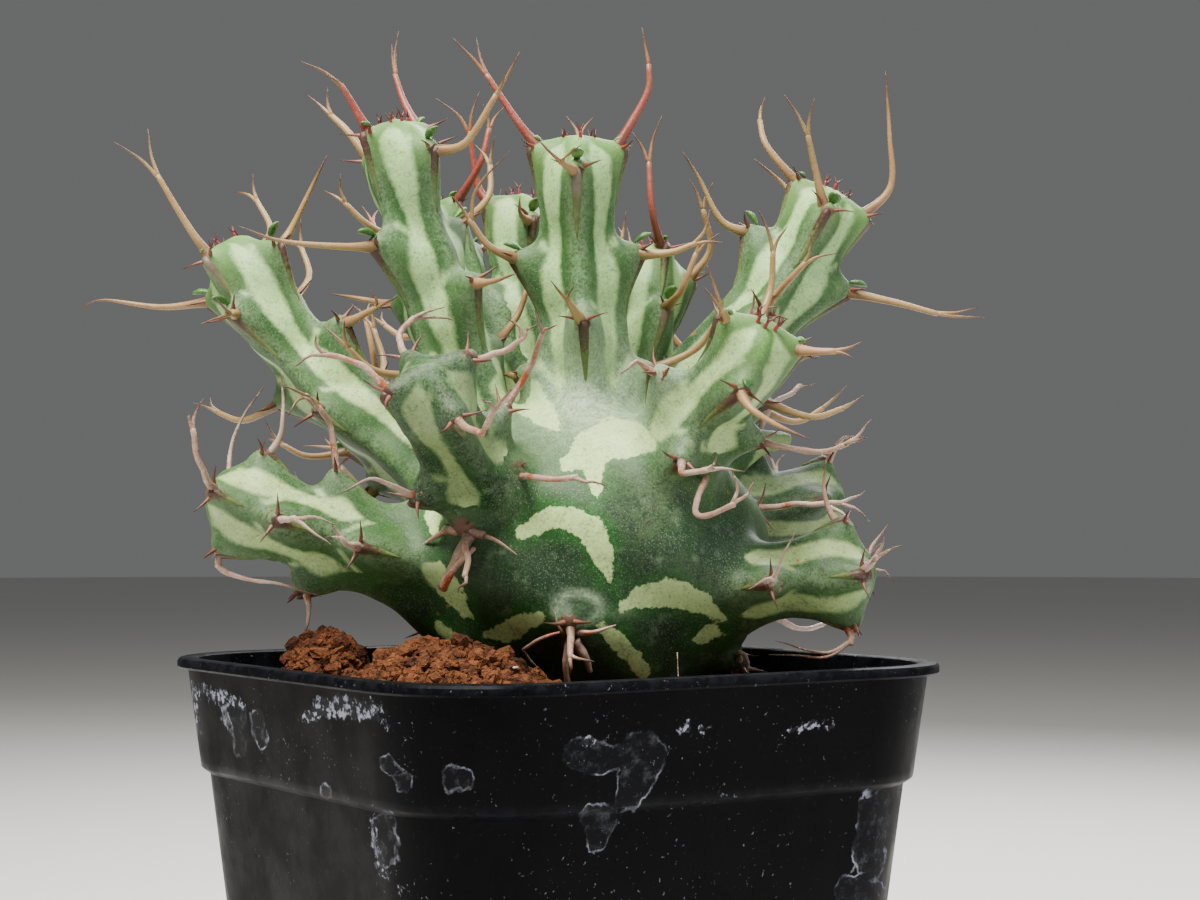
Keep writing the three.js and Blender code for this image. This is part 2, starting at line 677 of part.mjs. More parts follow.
/**
 * Finishes a tubercle: its shield, the pair of prickles, the leaf above and the spine. The shield's
 * neighbours on the skin are the points to the left, below, to the right and above.
 */
function addShield(skin, shield, neighbours, tip, { spine, prickles }, withLeaf) {
  const { centre, outward, ahead } = tip;
  const { left, below, right, above } = neighbours;
  const [lowerLeft, lowerRight, upperRight, upperLeft] = shield;
  const across = new THREE.Vector3().crossVectors(ahead, outward).normalize();
  const along = new THREE.Vector3().crossVectors(outward, across);
  const beside = (hand) => centre.clone()
    .addScaledVector(across, hand * SHIELD.half * 2)
    .addScaledVector(outward, -SHIELD.half * 1.2);
  const [tipLeft, tipRight] = prickleTips(tip, prickles);

  const footLeft = skin.point(beside(-1));
  skin.face(left, lowerLeft, footLeft);
  skin.face(left, footLeft, upperLeft);
  skin.cone([footLeft, lowerLeft, upperLeft], tipLeft);

  const footRight = skin.point(beside(1));
  skin.face(right, upperRight, footRight);
  skin.face(right, footRight, lowerRight);
  skin.cone([footRight, upperRight, lowerRight], tipRight);

  skin.face(below, lowerRight, lowerLeft);
  if (withLeaf) {
    addLeaf(skin, above, [upperLeft, upperRight], centre, outward, across, along);
  } else {
    skin.face(above, upperLeft, upperRight);
  }
  addSpine(skin, shield, centre, outward, across, along, spine);
}

/** Adds a small fleshy leaf that stands on the upper edge of a shield. */
function addLeaf(skin, above, [upperLeft, upperRight], centre, outward, across, along) {
  const pointing = along.clone().addScaledVector(outward, 0.3).normalize();
  const foot = centre.clone().addScaledVector(along, SHIELD.half * 1.9).addScaledVector(outward, -0.7);
  const heel = skin.point(foot);
  skin.face(above, upperLeft, heel);
  skin.face(above, heel, upperRight);
  const middle = foot.clone().addScaledVector(pointing, LEAF.length * 0.55);
  const through = new THREE.Vector3().crossVectors(across, pointing);
  const widest = skin.points([
    middle.clone().addScaledVector(through, -LEAF.thickness),
    middle.clone().addScaledVector(across, -LEAF.width).addScaledVector(through, LEAF.thickness * 0.4),
    middle.clone().addScaledVector(across, LEAF.width).addScaledVector(through, LEAF.thickness * 0.4),
  ]);
  skin.band([heel, upperLeft, upperRight], widest);
  skin.cone(widest, foot.clone().addScaledVector(pointing, LEAF.length));
}

/** A forked spine of a given length, for a tubercle that has no points of its own. */
function forkedSpine({ centre, outward, ahead }, length, rise, sway) {
  const across = new THREE.Vector3().crossVectors(outward, ahead);
  const bend = centre.clone().addScaledVector(outward, length * 0.42).addScaledVector(ahead, length * 0.2);
  const fork = bend.clone()
    .addScaledVector(outward, length * 0.16)
    .addScaledVector(ahead, length * rise)
    .addScaledVector(across, length * sway);
  const tips = [-1, 1].map((hand) => fork.clone()
    .addScaledVector(across, length * (hand * 0.14 + sway))
    .addScaledVector(outward, length * 0.06)
    .addScaledVector(ahead, length * 0.22));
  return { main: [bend, fork], tips };
}

/** The ends of the pair of prickles at a tubercle. */
function prickleTips({ centre, outward, ahead }, length) {
  const across = new THREE.Vector3().crossVectors(ahead, outward).normalize();
  const along = new THREE.Vector3().crossVectors(outward, across);
  return [-1, 1].map((hand) => centre.clone()
    .addScaledVector(across, hand * length * 0.85)
    .addScaledVector(outward, length * 0.4)
    .addScaledVector(along, length * 0.25));
}

/** Points along a spine, from its root to both tips. */
function pointsAlong(centre, { main, tips }) {
  const stops = [centre, ...main];
  const fork = stops[stops.length - 1];
  const legs = main.map((place, index) => [stops[index], place]);
  legs.push(...tips.map((place) => [fork, place]));
  return legs.flatMap(([from, to]) => [0.25, 0.5, 0.75, 1].map((share) => from.clone().lerp(to, share)));
}

/** Keeps the room that stems and spines take, so that later spines can grow clear of them. */
class Thicket {
  constructor() {
    this.stems = [];
    this.spines = [];
  }

  addStem(owner, line) {
    for (let step = 0; step <= 12; step += 1) {
      const { place, radius } = line.at(step / 12);
      this.stems.push({ owner, place, reach: radius + SPINE.offStem });
    }
  }

  addSpine(owner, points) {
    this.spines.push(...points.map((place) => ({ owner, place })));
  }

  /** Whether points keep clear of all other stems, and of all spines but those of their own shield. */
  isClear(owner, points) {
    const stem = owner.split(' ')[0];
    return points.every((point) => (
      (point.z > 1 || Math.hypot(point.x, point.y) < POT_REACH)
      && this.stems.every((spot) => spot.owner === stem || spot.place.distanceTo(point) > spot.reach)
      && this.spines.every((spot) => spot.owner === owner || spot.place.distanceTo(point) > SPINE.apart)
    ));
  }
}

/** The spine and prickles of a shield: the ones that are seen, or else the first by rule with room. */
function shieldGrowth(owner, shown, tip, thicket, random) {
  const roomForPrickles = thicket.isClear(owner, prickleTips(tip, PRICKLE.length));
  const prickles = roomForPrickles ? PRICKLE.length : STUMP;
  thicket.addSpine(owner, prickleTips(tip, prickles));
  if (shown) return { spine: shown, prickles };
  for (let attempt = 0; attempt < SPINE.tries; attempt += 1) {
    const length = SPINE.length * (1.15 - 0.05 * attempt) * (0.85 + 0.2 * random());
    const spine = forkedSpine(tip, length, 0.2 + 0.15 * random(), 0.3 * (random() - 0.5));
    const points = pointsAlong(tip.centre, spine);
    if (thicket.isClear(owner, points)) {
      thicket.addSpine(owner, points);
      return { spine, prickles };
    }
  }
  return { spine: { main: [tip.centre.clone().addScaledVector(tip.outward, STUMP)], tips: [] }, prickles };
}

// ---------------------------------------------------------------- body

/** The globe-shaped body with its root, grown outwards where it is used to cut others clear. */
function bodySkin(grow = 0) {
  const { centre, radii, rings: count, sides, rootTop, rootTip, rootDepth } = BODY;
  const rings = [];
  const addRing = (height, radiusX, radiusY, wave) => {
    const ring = [];
    for (let side = 0; side < sides; side += 1) {
      const angle = (side / sides) * Math.PI * 2;
      const swell = 1 + wave * Math.cos(angle * 5 + height * 0.35);
      ring.push(new THREE.Vector3(
        centre.x + Math.cos(angle) * (radiusX * swell + grow),
        centre.y + Math.sin(angle) * (radiusY * swell + grow),
        height,
      ));
    }
    rings.push(ring);
  };
  addRing(-rootDepth - grow, rootTip, rootTip, 0);
  addRing(-rootDepth * 0.6, rootTop * 0.75, rootTop * 0.75, 0);
  for (let index = 0; index < count; index += 1) {
    const tilt = THREE.MathUtils.lerp(-64, 80, index / (count - 1));
    const angle = THREE.MathUtils.degToRad(tilt);
    const height = centre.z + Math.sin(angle) * (radii.z + grow);
    addRing(height, Math.cos(angle) * radii.x, Math.cos(angle) * radii.y, 0.03);
  }
  return loft(rings, 0.4);
}

/** The outward direction of the body's surface at a point. */
function bodyNormal(point) {
  const { centre, radii } = BODY;
  return new THREE.Vector3(
    (point.x - centre.x) / radii.x ** 2,
    (point.y - centre.y) / radii.y ** 2,
    (point.z - centre.z) / radii.z ** 2,
  ).normalize();
}

/** The point of the body's front surface that shows at a place across and up. */
function onBodyFront([across, up]) {
  const { centre, radii } = BODY;
  let depth = -radii.y;
  for (let pass = 0; pass < 4; pass += 1) {
    const point = seen([across, up, depth]);
    const rest = 1 - ((point.x - centre.x) / radii.x) ** 2 - ((point.z - centre.z) / radii.z) ** 2;
    depth = centre.y - radii.y * Math.sqrt(Math.max(rest, 0.02));
  }
  return seen([across, up, depth]);
}

/** The point of the body's surface at a bearing, counted from the right over the back. */
function onBodyBack(bearing, height) {
  const { centre, radii } = BODY;
  const angle = THREE.MathUtils.degToRad(bearing);
  const share = Math.sqrt(1 - ((height - centre.z) / radii.z) ** 2);
  return new THREE.Vector3(
    centre.x + Math.cos(angle) * radii.x * share,
    centre.y + Math.sin(angle) * radii.y * share,
    height,
  );
}

/** A tubercle of the body, from its sunk foot to its shield, with the growth on it if there is any. */
function bodyTubercle(root, tip, growth, grow = 0) {
  const skin = new Skin();
  const across = new THREE.Vector3().crossVectors(tip.ahead, tip.outward).normalize();
  const foot = root.clone().addScaledVector(tip.outward, -TUBERCLE.sunk);
  const [left, below, right, above] = skin.points([
    foot.clone().addScaledVector(across, -TUBERCLE.width - grow),
    foot.clone().addScaledVector(tip.ahead, -TUBERCLE.length - grow),
    foot.clone().addScaledVector(across, TUBERCLE.width + grow),
    foot.clone().addScaledVector(tip.ahead, TUBERCLE.length + grow),
  ]);
  const shield = skin.points(squareCorners(tip.centre, across, tip.ahead, SHIELD.half + grow));
  skin.face(left, below, shield[0]);
  skin.face(below, right, shield[1]);
  skin.face(right, above, shield[2]);
  skin.face(above, left, shield[3]);
  skin.face(above, right, below, left);
  if (growth) {
    addShield(skin, shield, { left, below, right, above }, tip, growth, false);
  } else {
    skin.face(left, shield[0], shield[3]);
    skin.face(below, shield[1], shield[0]);
    skin.face(right, shield[2], shield[1]);
    skin.face(above, shield[3], shield[2]);
    skin.face(...shield);
  }
  return skin.geometry();
}

/** The old tubercles of the body: the root of each, its tip and the spine that shows on it. */
function bodyTubercles() {
  const up = new THREE.Vector3(0, 0, 1);
  const standing = (root, rise, spine) => {
    const outward = bodyNormal(root);
    const ahead = up.clone().addScaledVector(outward, -up.dot(outward)).normalize();
    const centre = root.clone().addScaledVector(outward, rise).addScaledVector(ahead, TUBERCLE.lean);
    return { root, tip: { centre, outward, ahead }, spine };
  };
  const inFront = BODY_TUBERCLES.map(({ seen: spot, rise, main, tips = [] }) => standing(
    onBodyFront(spot),
    rise,
    { main: main.map(seen), tips: tips.map(seen) },
  ));
  const behind = BACK_TUBERCLES.bearings.map((bearing, index) => standing(
    onBodyBack(bearing, BACK_TUBERCLES.heights[index]),
    BACK_TUBERCLES.rise,
    null,
  ));
  return [...inFront, ...behind];
}

/** The body with the old tubercles that stand on it. */
function body(thicket, random) {
  const knobs = bodyTubercles().map(({ root, tip, spine }, index) => (
    bodyTubercle(root, tip, shieldGrowth(`plant_body ${index}`, spine, tip, thicket, random))));
  return wasm.Manifold.union([bodySkin(), ...knobs].map(solidOf));
}

/** The body's globe and tubercles without spines, grown outwards to cut its neighbours clear. */
function grownBody() {
  const knobs = bodyTubercles().map(({ root, tip }) => {
    const shortened = { ...tip, centre: tip.centre.clone().addScaledVector(tip.outward, GAP) };
    return bodyTubercle(root, shortened, null, GAP);
  });
  return wasm.Manifold.union([bodySkin(GAP), ...knobs].map(solidOf));
}

// ---------------------------------------------------------------- pot and soil

/** A square ring with round corners, counter-clockwise from above. */
function squareRing(half, corner, height) {
  const ring = [];
  for (let quarter = 0; quarter < 4; quarter += 1) {
    const turn = (quarter * Math.PI) / 2;
    for (let step = 0; step <= POT.cornerSteps; step += 1) {
      const angle = turn + (step / POT.cornerSteps) * (Math.PI / 2);
      const signX = quarter === 0 || quarter === 3 ? 1 : -1;
      const signY = quarter < 2 ? 1 : -1;
      ring.push(new THREE.Vector3(
        signX * (half - corner) + Math.cos(angle) * corner,
        signY * (half - corner) + Math.sin(angle) * corner,
        height,
      ));
    }
  }
  return ring;
}

const BAND_FOOT = POT.height - POT.bandHeight;
const LIP_HALF = POT.lipSide / 2;
const BAND_TOP_HALF = LIP_HALF - POT.lipOverhang;
const FOOT_HALF = POT.footSide / 2;
const TAPER = (BAND_TOP_HALF - POT.stepIn - FOOT_HALF) / POT.height;
const BAND_FOOT_HALF = BAND_TOP_HALF - TAPER * POT.bandHeight;
const LOWER_TOP_HALF = BAND_FOOT_HALF - POT.stepIn;

/** The corner radius of the pot's outside at a height. */
function cornerAt(height) {
  return THREE.MathUtils.lerp(POT.footCorner, POT.lipCorner, height / POT.height);
}

/** The pot: outer wall, step, band and lip, inner wall and floor, with its drain holes. */
function pot() {
  const rim = POT.height;
  const lipFoot = rim - POT.lipHeight;
  const outside = [
    [FOOT_HALF - 1, 0],
    [FOOT_HALF, 1.2],
    [LOWER_TOP_HALF, BAND_FOOT - 1],
    [BAND_FOOT_HALF, BAND_FOOT],
    [BAND_TOP_HALF, lipFoot],
    [LIP_HALF, lipFoot + 0.2],
    [LIP_HALF, rim - 0.4],
    [LIP_HALF - 0.5, rim],
  ];
  const inside = [
    [BAND_TOP_HALF - POT.wall + 0.4, rim],
    [BAND_TOP_HALF - POT.wall, rim - 0.6],
    [BAND_FOOT_HALF - POT.wall, BAND_FOOT],
    [LOWER_TOP_HALF - POT.wall, BAND_FOOT - 1.6],
    [FOOT_HALF - POT.wall, POT.floor],
  ];
  const rings = outside.map(([half, height]) => squareRing(half, cornerAt(height), height));
  rings.push(...inside.map(([half, height]) => squareRing(half, cornerAt(height) - POT.wall, height)));
  let shell = solidOf(loft(rings));
  for (const signX of [-1, 1]) {
    for (const signY of [-1, 1]) {
      const drain = new THREE.CylinderGeometry(POT.drainRadius, POT.drainRadius, POT.floor * 3, 12);
      drain.rotateX(Math.PI / 2);
      drain.translate(signX * POT.drainReach, signY * POT.drainReach, POT.floor / 2);
      shell = shell.subtract(solidOf(drain));
    }
  }
  return shell;
}

/** How high the soil lies at a place in the pot. */
function soilHeight(x, y, random) {
  const heaps = SOIL.heaps.map(({ x: heapX, y: heapY, rise, spread }) => {
    const distance = Math.hypot(x - heapX, y - heapY) / spread;
    return rise * Math.exp(-(distance ** 2) / 2);
  });
  const heap = Math.max(...heaps) + SOIL.saddle * Math.min(...heaps);
  return POT.height - SOIL.depth + heap + (random() - 0.5) * SOIL.grain;
}

/** The soil: a plug that fills the pot, with its crumbs and the heap beside the plant. */
function soil(plantCut) {
  const random = randomStream(41);
  const clear = POT.wall + GAP;
  const wallHalf = (height) => {
    if (height < BAND_FOOT - 1.6) {
      const share = (height - POT.floor) / (BAND_FOOT - 1.6 - POT.floor);
      return THREE.MathUtils.lerp(FOOT_HALF, LOWER_TOP_HALF, share) - clear;
    }
    return BAND_FOOT_HALF + TAPER * (height - BAND_FOOT) - clear;
  };
  const edge = POT.height - SOIL.depth;
  const rings = [POT.floor + GAP, BAND_FOOT - 1.9, BAND_FOOT + 0.6, edge].map((height) => {
    const half = wallHalf(height) - (height > BAND_FOOT ? 0 : 0.1);
    return squareRing(half, cornerAt(height) - clear, height);
  });
  for (const share of SOIL.rings) {
    rings.push(rings[3].map((point) => {
      const x = point.x * share;
      const y = point.y * share;
      return new THREE.Vector3(x, y, soilHeight(x, y, random));
    }));
  }
  const crumbs = [];
  for (let index = 0; index < SOIL.grains; index += 1) {
    const heap = SOIL.heaps[index % 3 === 2 ? 1 : 0];
    const x = heap.x + (random() - 0.5) * heap.spread * SOIL.grainSpan.x;
    const y = heap.y + (random() - 0.5) * heap.spread * SOIL.grainSpan.y;
    const size = SOIL.grain * (0.7 + 0.5 * random());
    const reach = wallHalf(edge) - size - SOIL.clearOfWall;
    if (Math.max(Math.abs(x), Math.abs(y)) < reach) {
      const crumb = new THREE.OctahedronGeometry(size, 0);
      crumb.rotateX(random() * Math.PI);
      crumb.translate(x, y, soilHeight(x, y, () => 0.5) + size * 0.25);
      crumbs.push(crumb);
    }
  }
  return wasm.Manifold.union([loft(rings), ...crumbs].map(solidOf)).subtract(plantCut);
}

// ---------------------------------------------------------------- assembly

/** A named mesh with its own material. */
function piece(name, solid, color, roughness) {
  const material = new THREE.MeshStandardMaterial({ color, roughness, metalness: 0 });
  const mesh = new THREE.Mesh(geometryOf(solid), material);
  mesh.name = name;
  return mesh;
}

const euphorbia = new THREE.Group();
euphorbia.add(piece('pot', pot(), COLOUR.pot, 0.45));

const rootHole = bodySkin(GAP);
rootHole.rotateZ(PLANT_TURN);
rootHole.translate(0, 0, POT.height);
euphorbia.add(piece('soil', soil(solidOf(rootHole)), COLOUR.soil, 0.95));

const plant = new THREE.Group();
plant.rotation.z = PLANT_TURN;
plant.position.z = POT.height;
euphorbia.add(plant);

const random = randomStream(7);
const thicket = new Thicket();
const stems = Object.entries(ARMS).map(([name, plan]) => ({ name, plan, line: new ArmLine(plan) }));
for (const { name, plan, line } of stems) {
  thicket.addStem(name, line);
  for (const place of Object.keys(plan.spines)) {
    const [level, rib] = place.split('/').map(Number);
    const { centre } = tubercleTip(plan, line, level, rib);
    thicket.addSpine(`${name} ${place}`, pointsAlong(centre, shownSpine(plan, line, level, rib)));
  }
}
plant.add(piece('plant_body', body(thicket, random), COLOUR.body, 0.6));

// Where arms meet the body and each other, each is cut back to leave the gap.
let taken = grownBody();
for (const { name, plan, line } of stems) {
  const solid = solidOf(armSkin(name, plan, line, thicket, random)).subtract(taken);
  plant.add(piece(name, solid, COLOUR.arm, 0.55));
  taken = taken.add(solidOf(grownStem(plan, line)));
}

export default euphorbia;
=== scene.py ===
"""Potted spiny euphorbia: a variegated globe with four-angled arms, in a square nursery pot.

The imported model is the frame. This script grows the plant's skin as one continuous surface over the
same middle lines as the solids, and adds spines, prickles, leaves, scars, soil and the pot's finish.
Lengths are written in millimetres and turned into metres where a mesh is made.
"""

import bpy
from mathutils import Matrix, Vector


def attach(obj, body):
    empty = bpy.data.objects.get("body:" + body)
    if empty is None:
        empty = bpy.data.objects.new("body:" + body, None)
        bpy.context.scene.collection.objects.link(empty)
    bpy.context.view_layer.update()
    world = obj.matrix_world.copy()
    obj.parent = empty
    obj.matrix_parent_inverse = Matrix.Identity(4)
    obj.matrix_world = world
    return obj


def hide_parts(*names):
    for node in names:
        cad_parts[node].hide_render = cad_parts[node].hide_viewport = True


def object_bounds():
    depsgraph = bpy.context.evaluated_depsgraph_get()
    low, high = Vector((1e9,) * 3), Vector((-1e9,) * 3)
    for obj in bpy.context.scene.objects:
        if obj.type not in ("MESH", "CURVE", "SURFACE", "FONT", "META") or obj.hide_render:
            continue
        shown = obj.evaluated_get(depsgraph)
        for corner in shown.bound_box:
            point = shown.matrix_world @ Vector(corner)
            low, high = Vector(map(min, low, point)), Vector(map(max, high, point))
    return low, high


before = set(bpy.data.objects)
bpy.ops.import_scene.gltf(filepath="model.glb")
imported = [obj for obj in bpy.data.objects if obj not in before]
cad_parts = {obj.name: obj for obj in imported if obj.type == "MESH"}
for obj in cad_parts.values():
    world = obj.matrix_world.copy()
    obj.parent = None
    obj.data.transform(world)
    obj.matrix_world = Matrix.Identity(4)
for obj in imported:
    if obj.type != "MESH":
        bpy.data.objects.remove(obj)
CAD_BOX = [list(corner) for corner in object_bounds()]

import logging
import math
import random
from dataclasses import dataclass, field, fields
from enum import Enum
from typing import Callable, Sequence

import bpy
import numpy as np
import openvdb
from bpy.types import NodeSocket
from mathutils import Vector

LOG = logging.getLogger("euphorbia")
MM = 0.001
BODY_NAME = "root"

Points = np.ndarray


# ---------------------------------------------------------------- plant frame


@dataclass(frozen=True)
class PlantFrame:
    """The plant's own frame: origin on the pot's axis at rim level, X right, Y back, Z up."""

    turn: float = math.radians(-34.3)
    rim: float = 80.0
    eye: tuple[float, float, float] = (7.3, -314.0, 18.4)
    pixel: float = 0.14666
    centre_column: float = 600.0
    horizon_row: float = 532.0

    def seen(self, points: Sequence) -> Points:
        """Moves points given as [across, up, depth] along the line of sight to their places.

        Args:
            points: One point or many, as they show on the upright plane through the pot's axis.

        Returns:
            The points in the plant's frame, in millimetres.
        """
        spots = np.atleast_2d(np.asarray(points, float))
        stretch = (spots[:, 2] - self.eye[1]) / -self.eye[1]
        return np.stack([
            self.eye[0] + (spots[:, 0] - self.eye[0]) * stretch,
            spots[:, 2],
            self.eye[2] + (spots[:, 1] - self.eye[2]) * stretch,
        ], axis=1)

    def shown(self, points: Points) -> Points:
        """The [across, up] at which points in the plant's frame show from the front."""
        stretch = (points[:, 1] - self.eye[1]) / -self.eye[1]
        return np.stack([
            self.eye[0] + (points[:, 0] - self.eye[0]) / stretch,
            self.eye[2] + (points[:, 2] - self.eye[2]) / stretch,
        ], axis=1)

    def of_pixel(self, column: float, row: float) -> tuple[float, float]:
        """The [across, up] of a place in the photograph's 1200 by 900 frame."""
        return (self.eye[0] + (column - self.centre_column) * self.pixel,
                self.eye[2] + (self.horizon_row - row) * self.pixel)

    def to_world(self, points: Points) -> Points:
        """Turns points of the plant's frame, in millimetres, into places in the row frame, in metres."""
        spots = np.atleast_2d(points)
        cos, sin = math.cos(self.turn), math.sin(self.turn)
        return np.stack([
            spots[:, 0] * cos - spots[:, 1] * sin,
            spots[:, 0] * sin + spots[:, 1] * cos,
            spots[:, 2] + self.rim,
        ], axis=1) * MM

    def from_world(self, points: Points) -> Points:
        """Turns places in the row frame, in metres, into points of the plant's frame."""
        spots = np.atleast_2d(points) / MM
        cos, sin = math.cos(self.turn), math.sin(self.turn)
        return np.stack([
            spots[:, 0] * cos + spots[:, 1] * sin,
            -spots[:, 0] * sin + spots[:, 1] * cos,
            spots[:, 2] - self.rim,
        ], axis=1)


PLANT = PlantFrame()


def unit(vectors: Points) -> Points:
    """Vectors at length one."""
    return vectors / np.maximum(np.linalg.norm(vectors, axis=-1, keepdims=True), 1e-9)


def smooth_step(values: Points, low: float, high: float) -> Points:
    """Eases from 0 at low to 1 at high."""
    share = np.clip((values - low) / (high - low), 0, 1)
    return share * share * (3 - 2 * share)


def random_stream(seed: int) -> Callable[[], float]:
    """A repeatable stream of numbers from 0 to 1, the same as the one that placed the solids."""
    factor, step, states = 1664525, 1013904223, 2 ** 32
    state = seed

    def draw() -> float:
        """The next number of the stream."""
        nonlocal state
        state = (state * factor + step) % states
        return state / states

    return draw


def curve_through(stops: Points, count: int, samples: int = 40) -> Points:
    """A smooth centripetal curve through points, at even steps.

    Args:
        stops: The points that the curve passes.
        count: How many points it gets.
        samples: How many places of each leg its length is measured at.

    Returns:
        The curve's points.
    """
    padded = np.vstack([2 * stops[0] - stops[1], stops, 2 * stops[-1] - stops[-2]])
    share = np.linspace(0, 1, samples, endpoint=False)[:, None]
    legs = []
    for p0, p1, p2, p3 in zip(padded, padded[1:], padded[2:], padded[3:]):
        before, middle, after = (max(np.linalg.norm(b - a), 1e-6) ** 0.5
                                 for a, b in ((p0, p1), (p1, p2), (p2, p3)))
        start = ((p1 - p0) / before - (p2 - p0) / (before + middle) + (p2 - p1) / middle) * middle
        end = ((p2 - p1) / middle - (p3 - p1) / (middle + after) + (p3 - p2) / after) * middle
        legs.append(p1 + start * share + (3 * (p2 - p1) - 2 * start - end) * share ** 2
                    + (2 * (p1 - p2) + start + end) * share ** 3)
    dense = np.vstack(legs + [stops[-1:]])
    reach = np.concatenate([[0], np.cumsum(np.linalg.norm(np.diff(dense, axis=0), axis=1))])
    even = np.linspace(0, reach[-1], count)
    return np.stack([np.interp(even, reach, dense[:, axis]) for axis in range(3)], axis=1)


# ---------------------------------------------------------------- the plant's plan


class Age(Enum):
    """How old a spine is, which sets its colour and how crooked it has grown."""

    NEW = 0.0
    GROWN = 0.4
    OLD = 1.0


@dataclass(frozen=True)
class ArmPlan:
    """One arm: its middle line as it shows from the front, its radii, and what its ribs carry.

    Levels are shares of its length, from the tip down. A tubercle is named by its level and its rib,
    and its spine is given as the points from its root to its fork, and the ends of its tips.
    """

    path: tuple
    radii: tuple = (7.5, 6.2, 5.6, 4.6)
    turn: float = 0
    first_pair: int = 0
    levels: tuple = (0.96, 0.84, 0.6, 0.4)
    spines: dict = field(default_factory=dict)
    bare: tuple = ()
    age: Age = Age.GROWN
    # how much painted shade darkens the arm, from 0 to 1
    shade: float = 0.0
    stripe_from: float = 0.0
    old_from: int | None = None
    red_top: bool = False


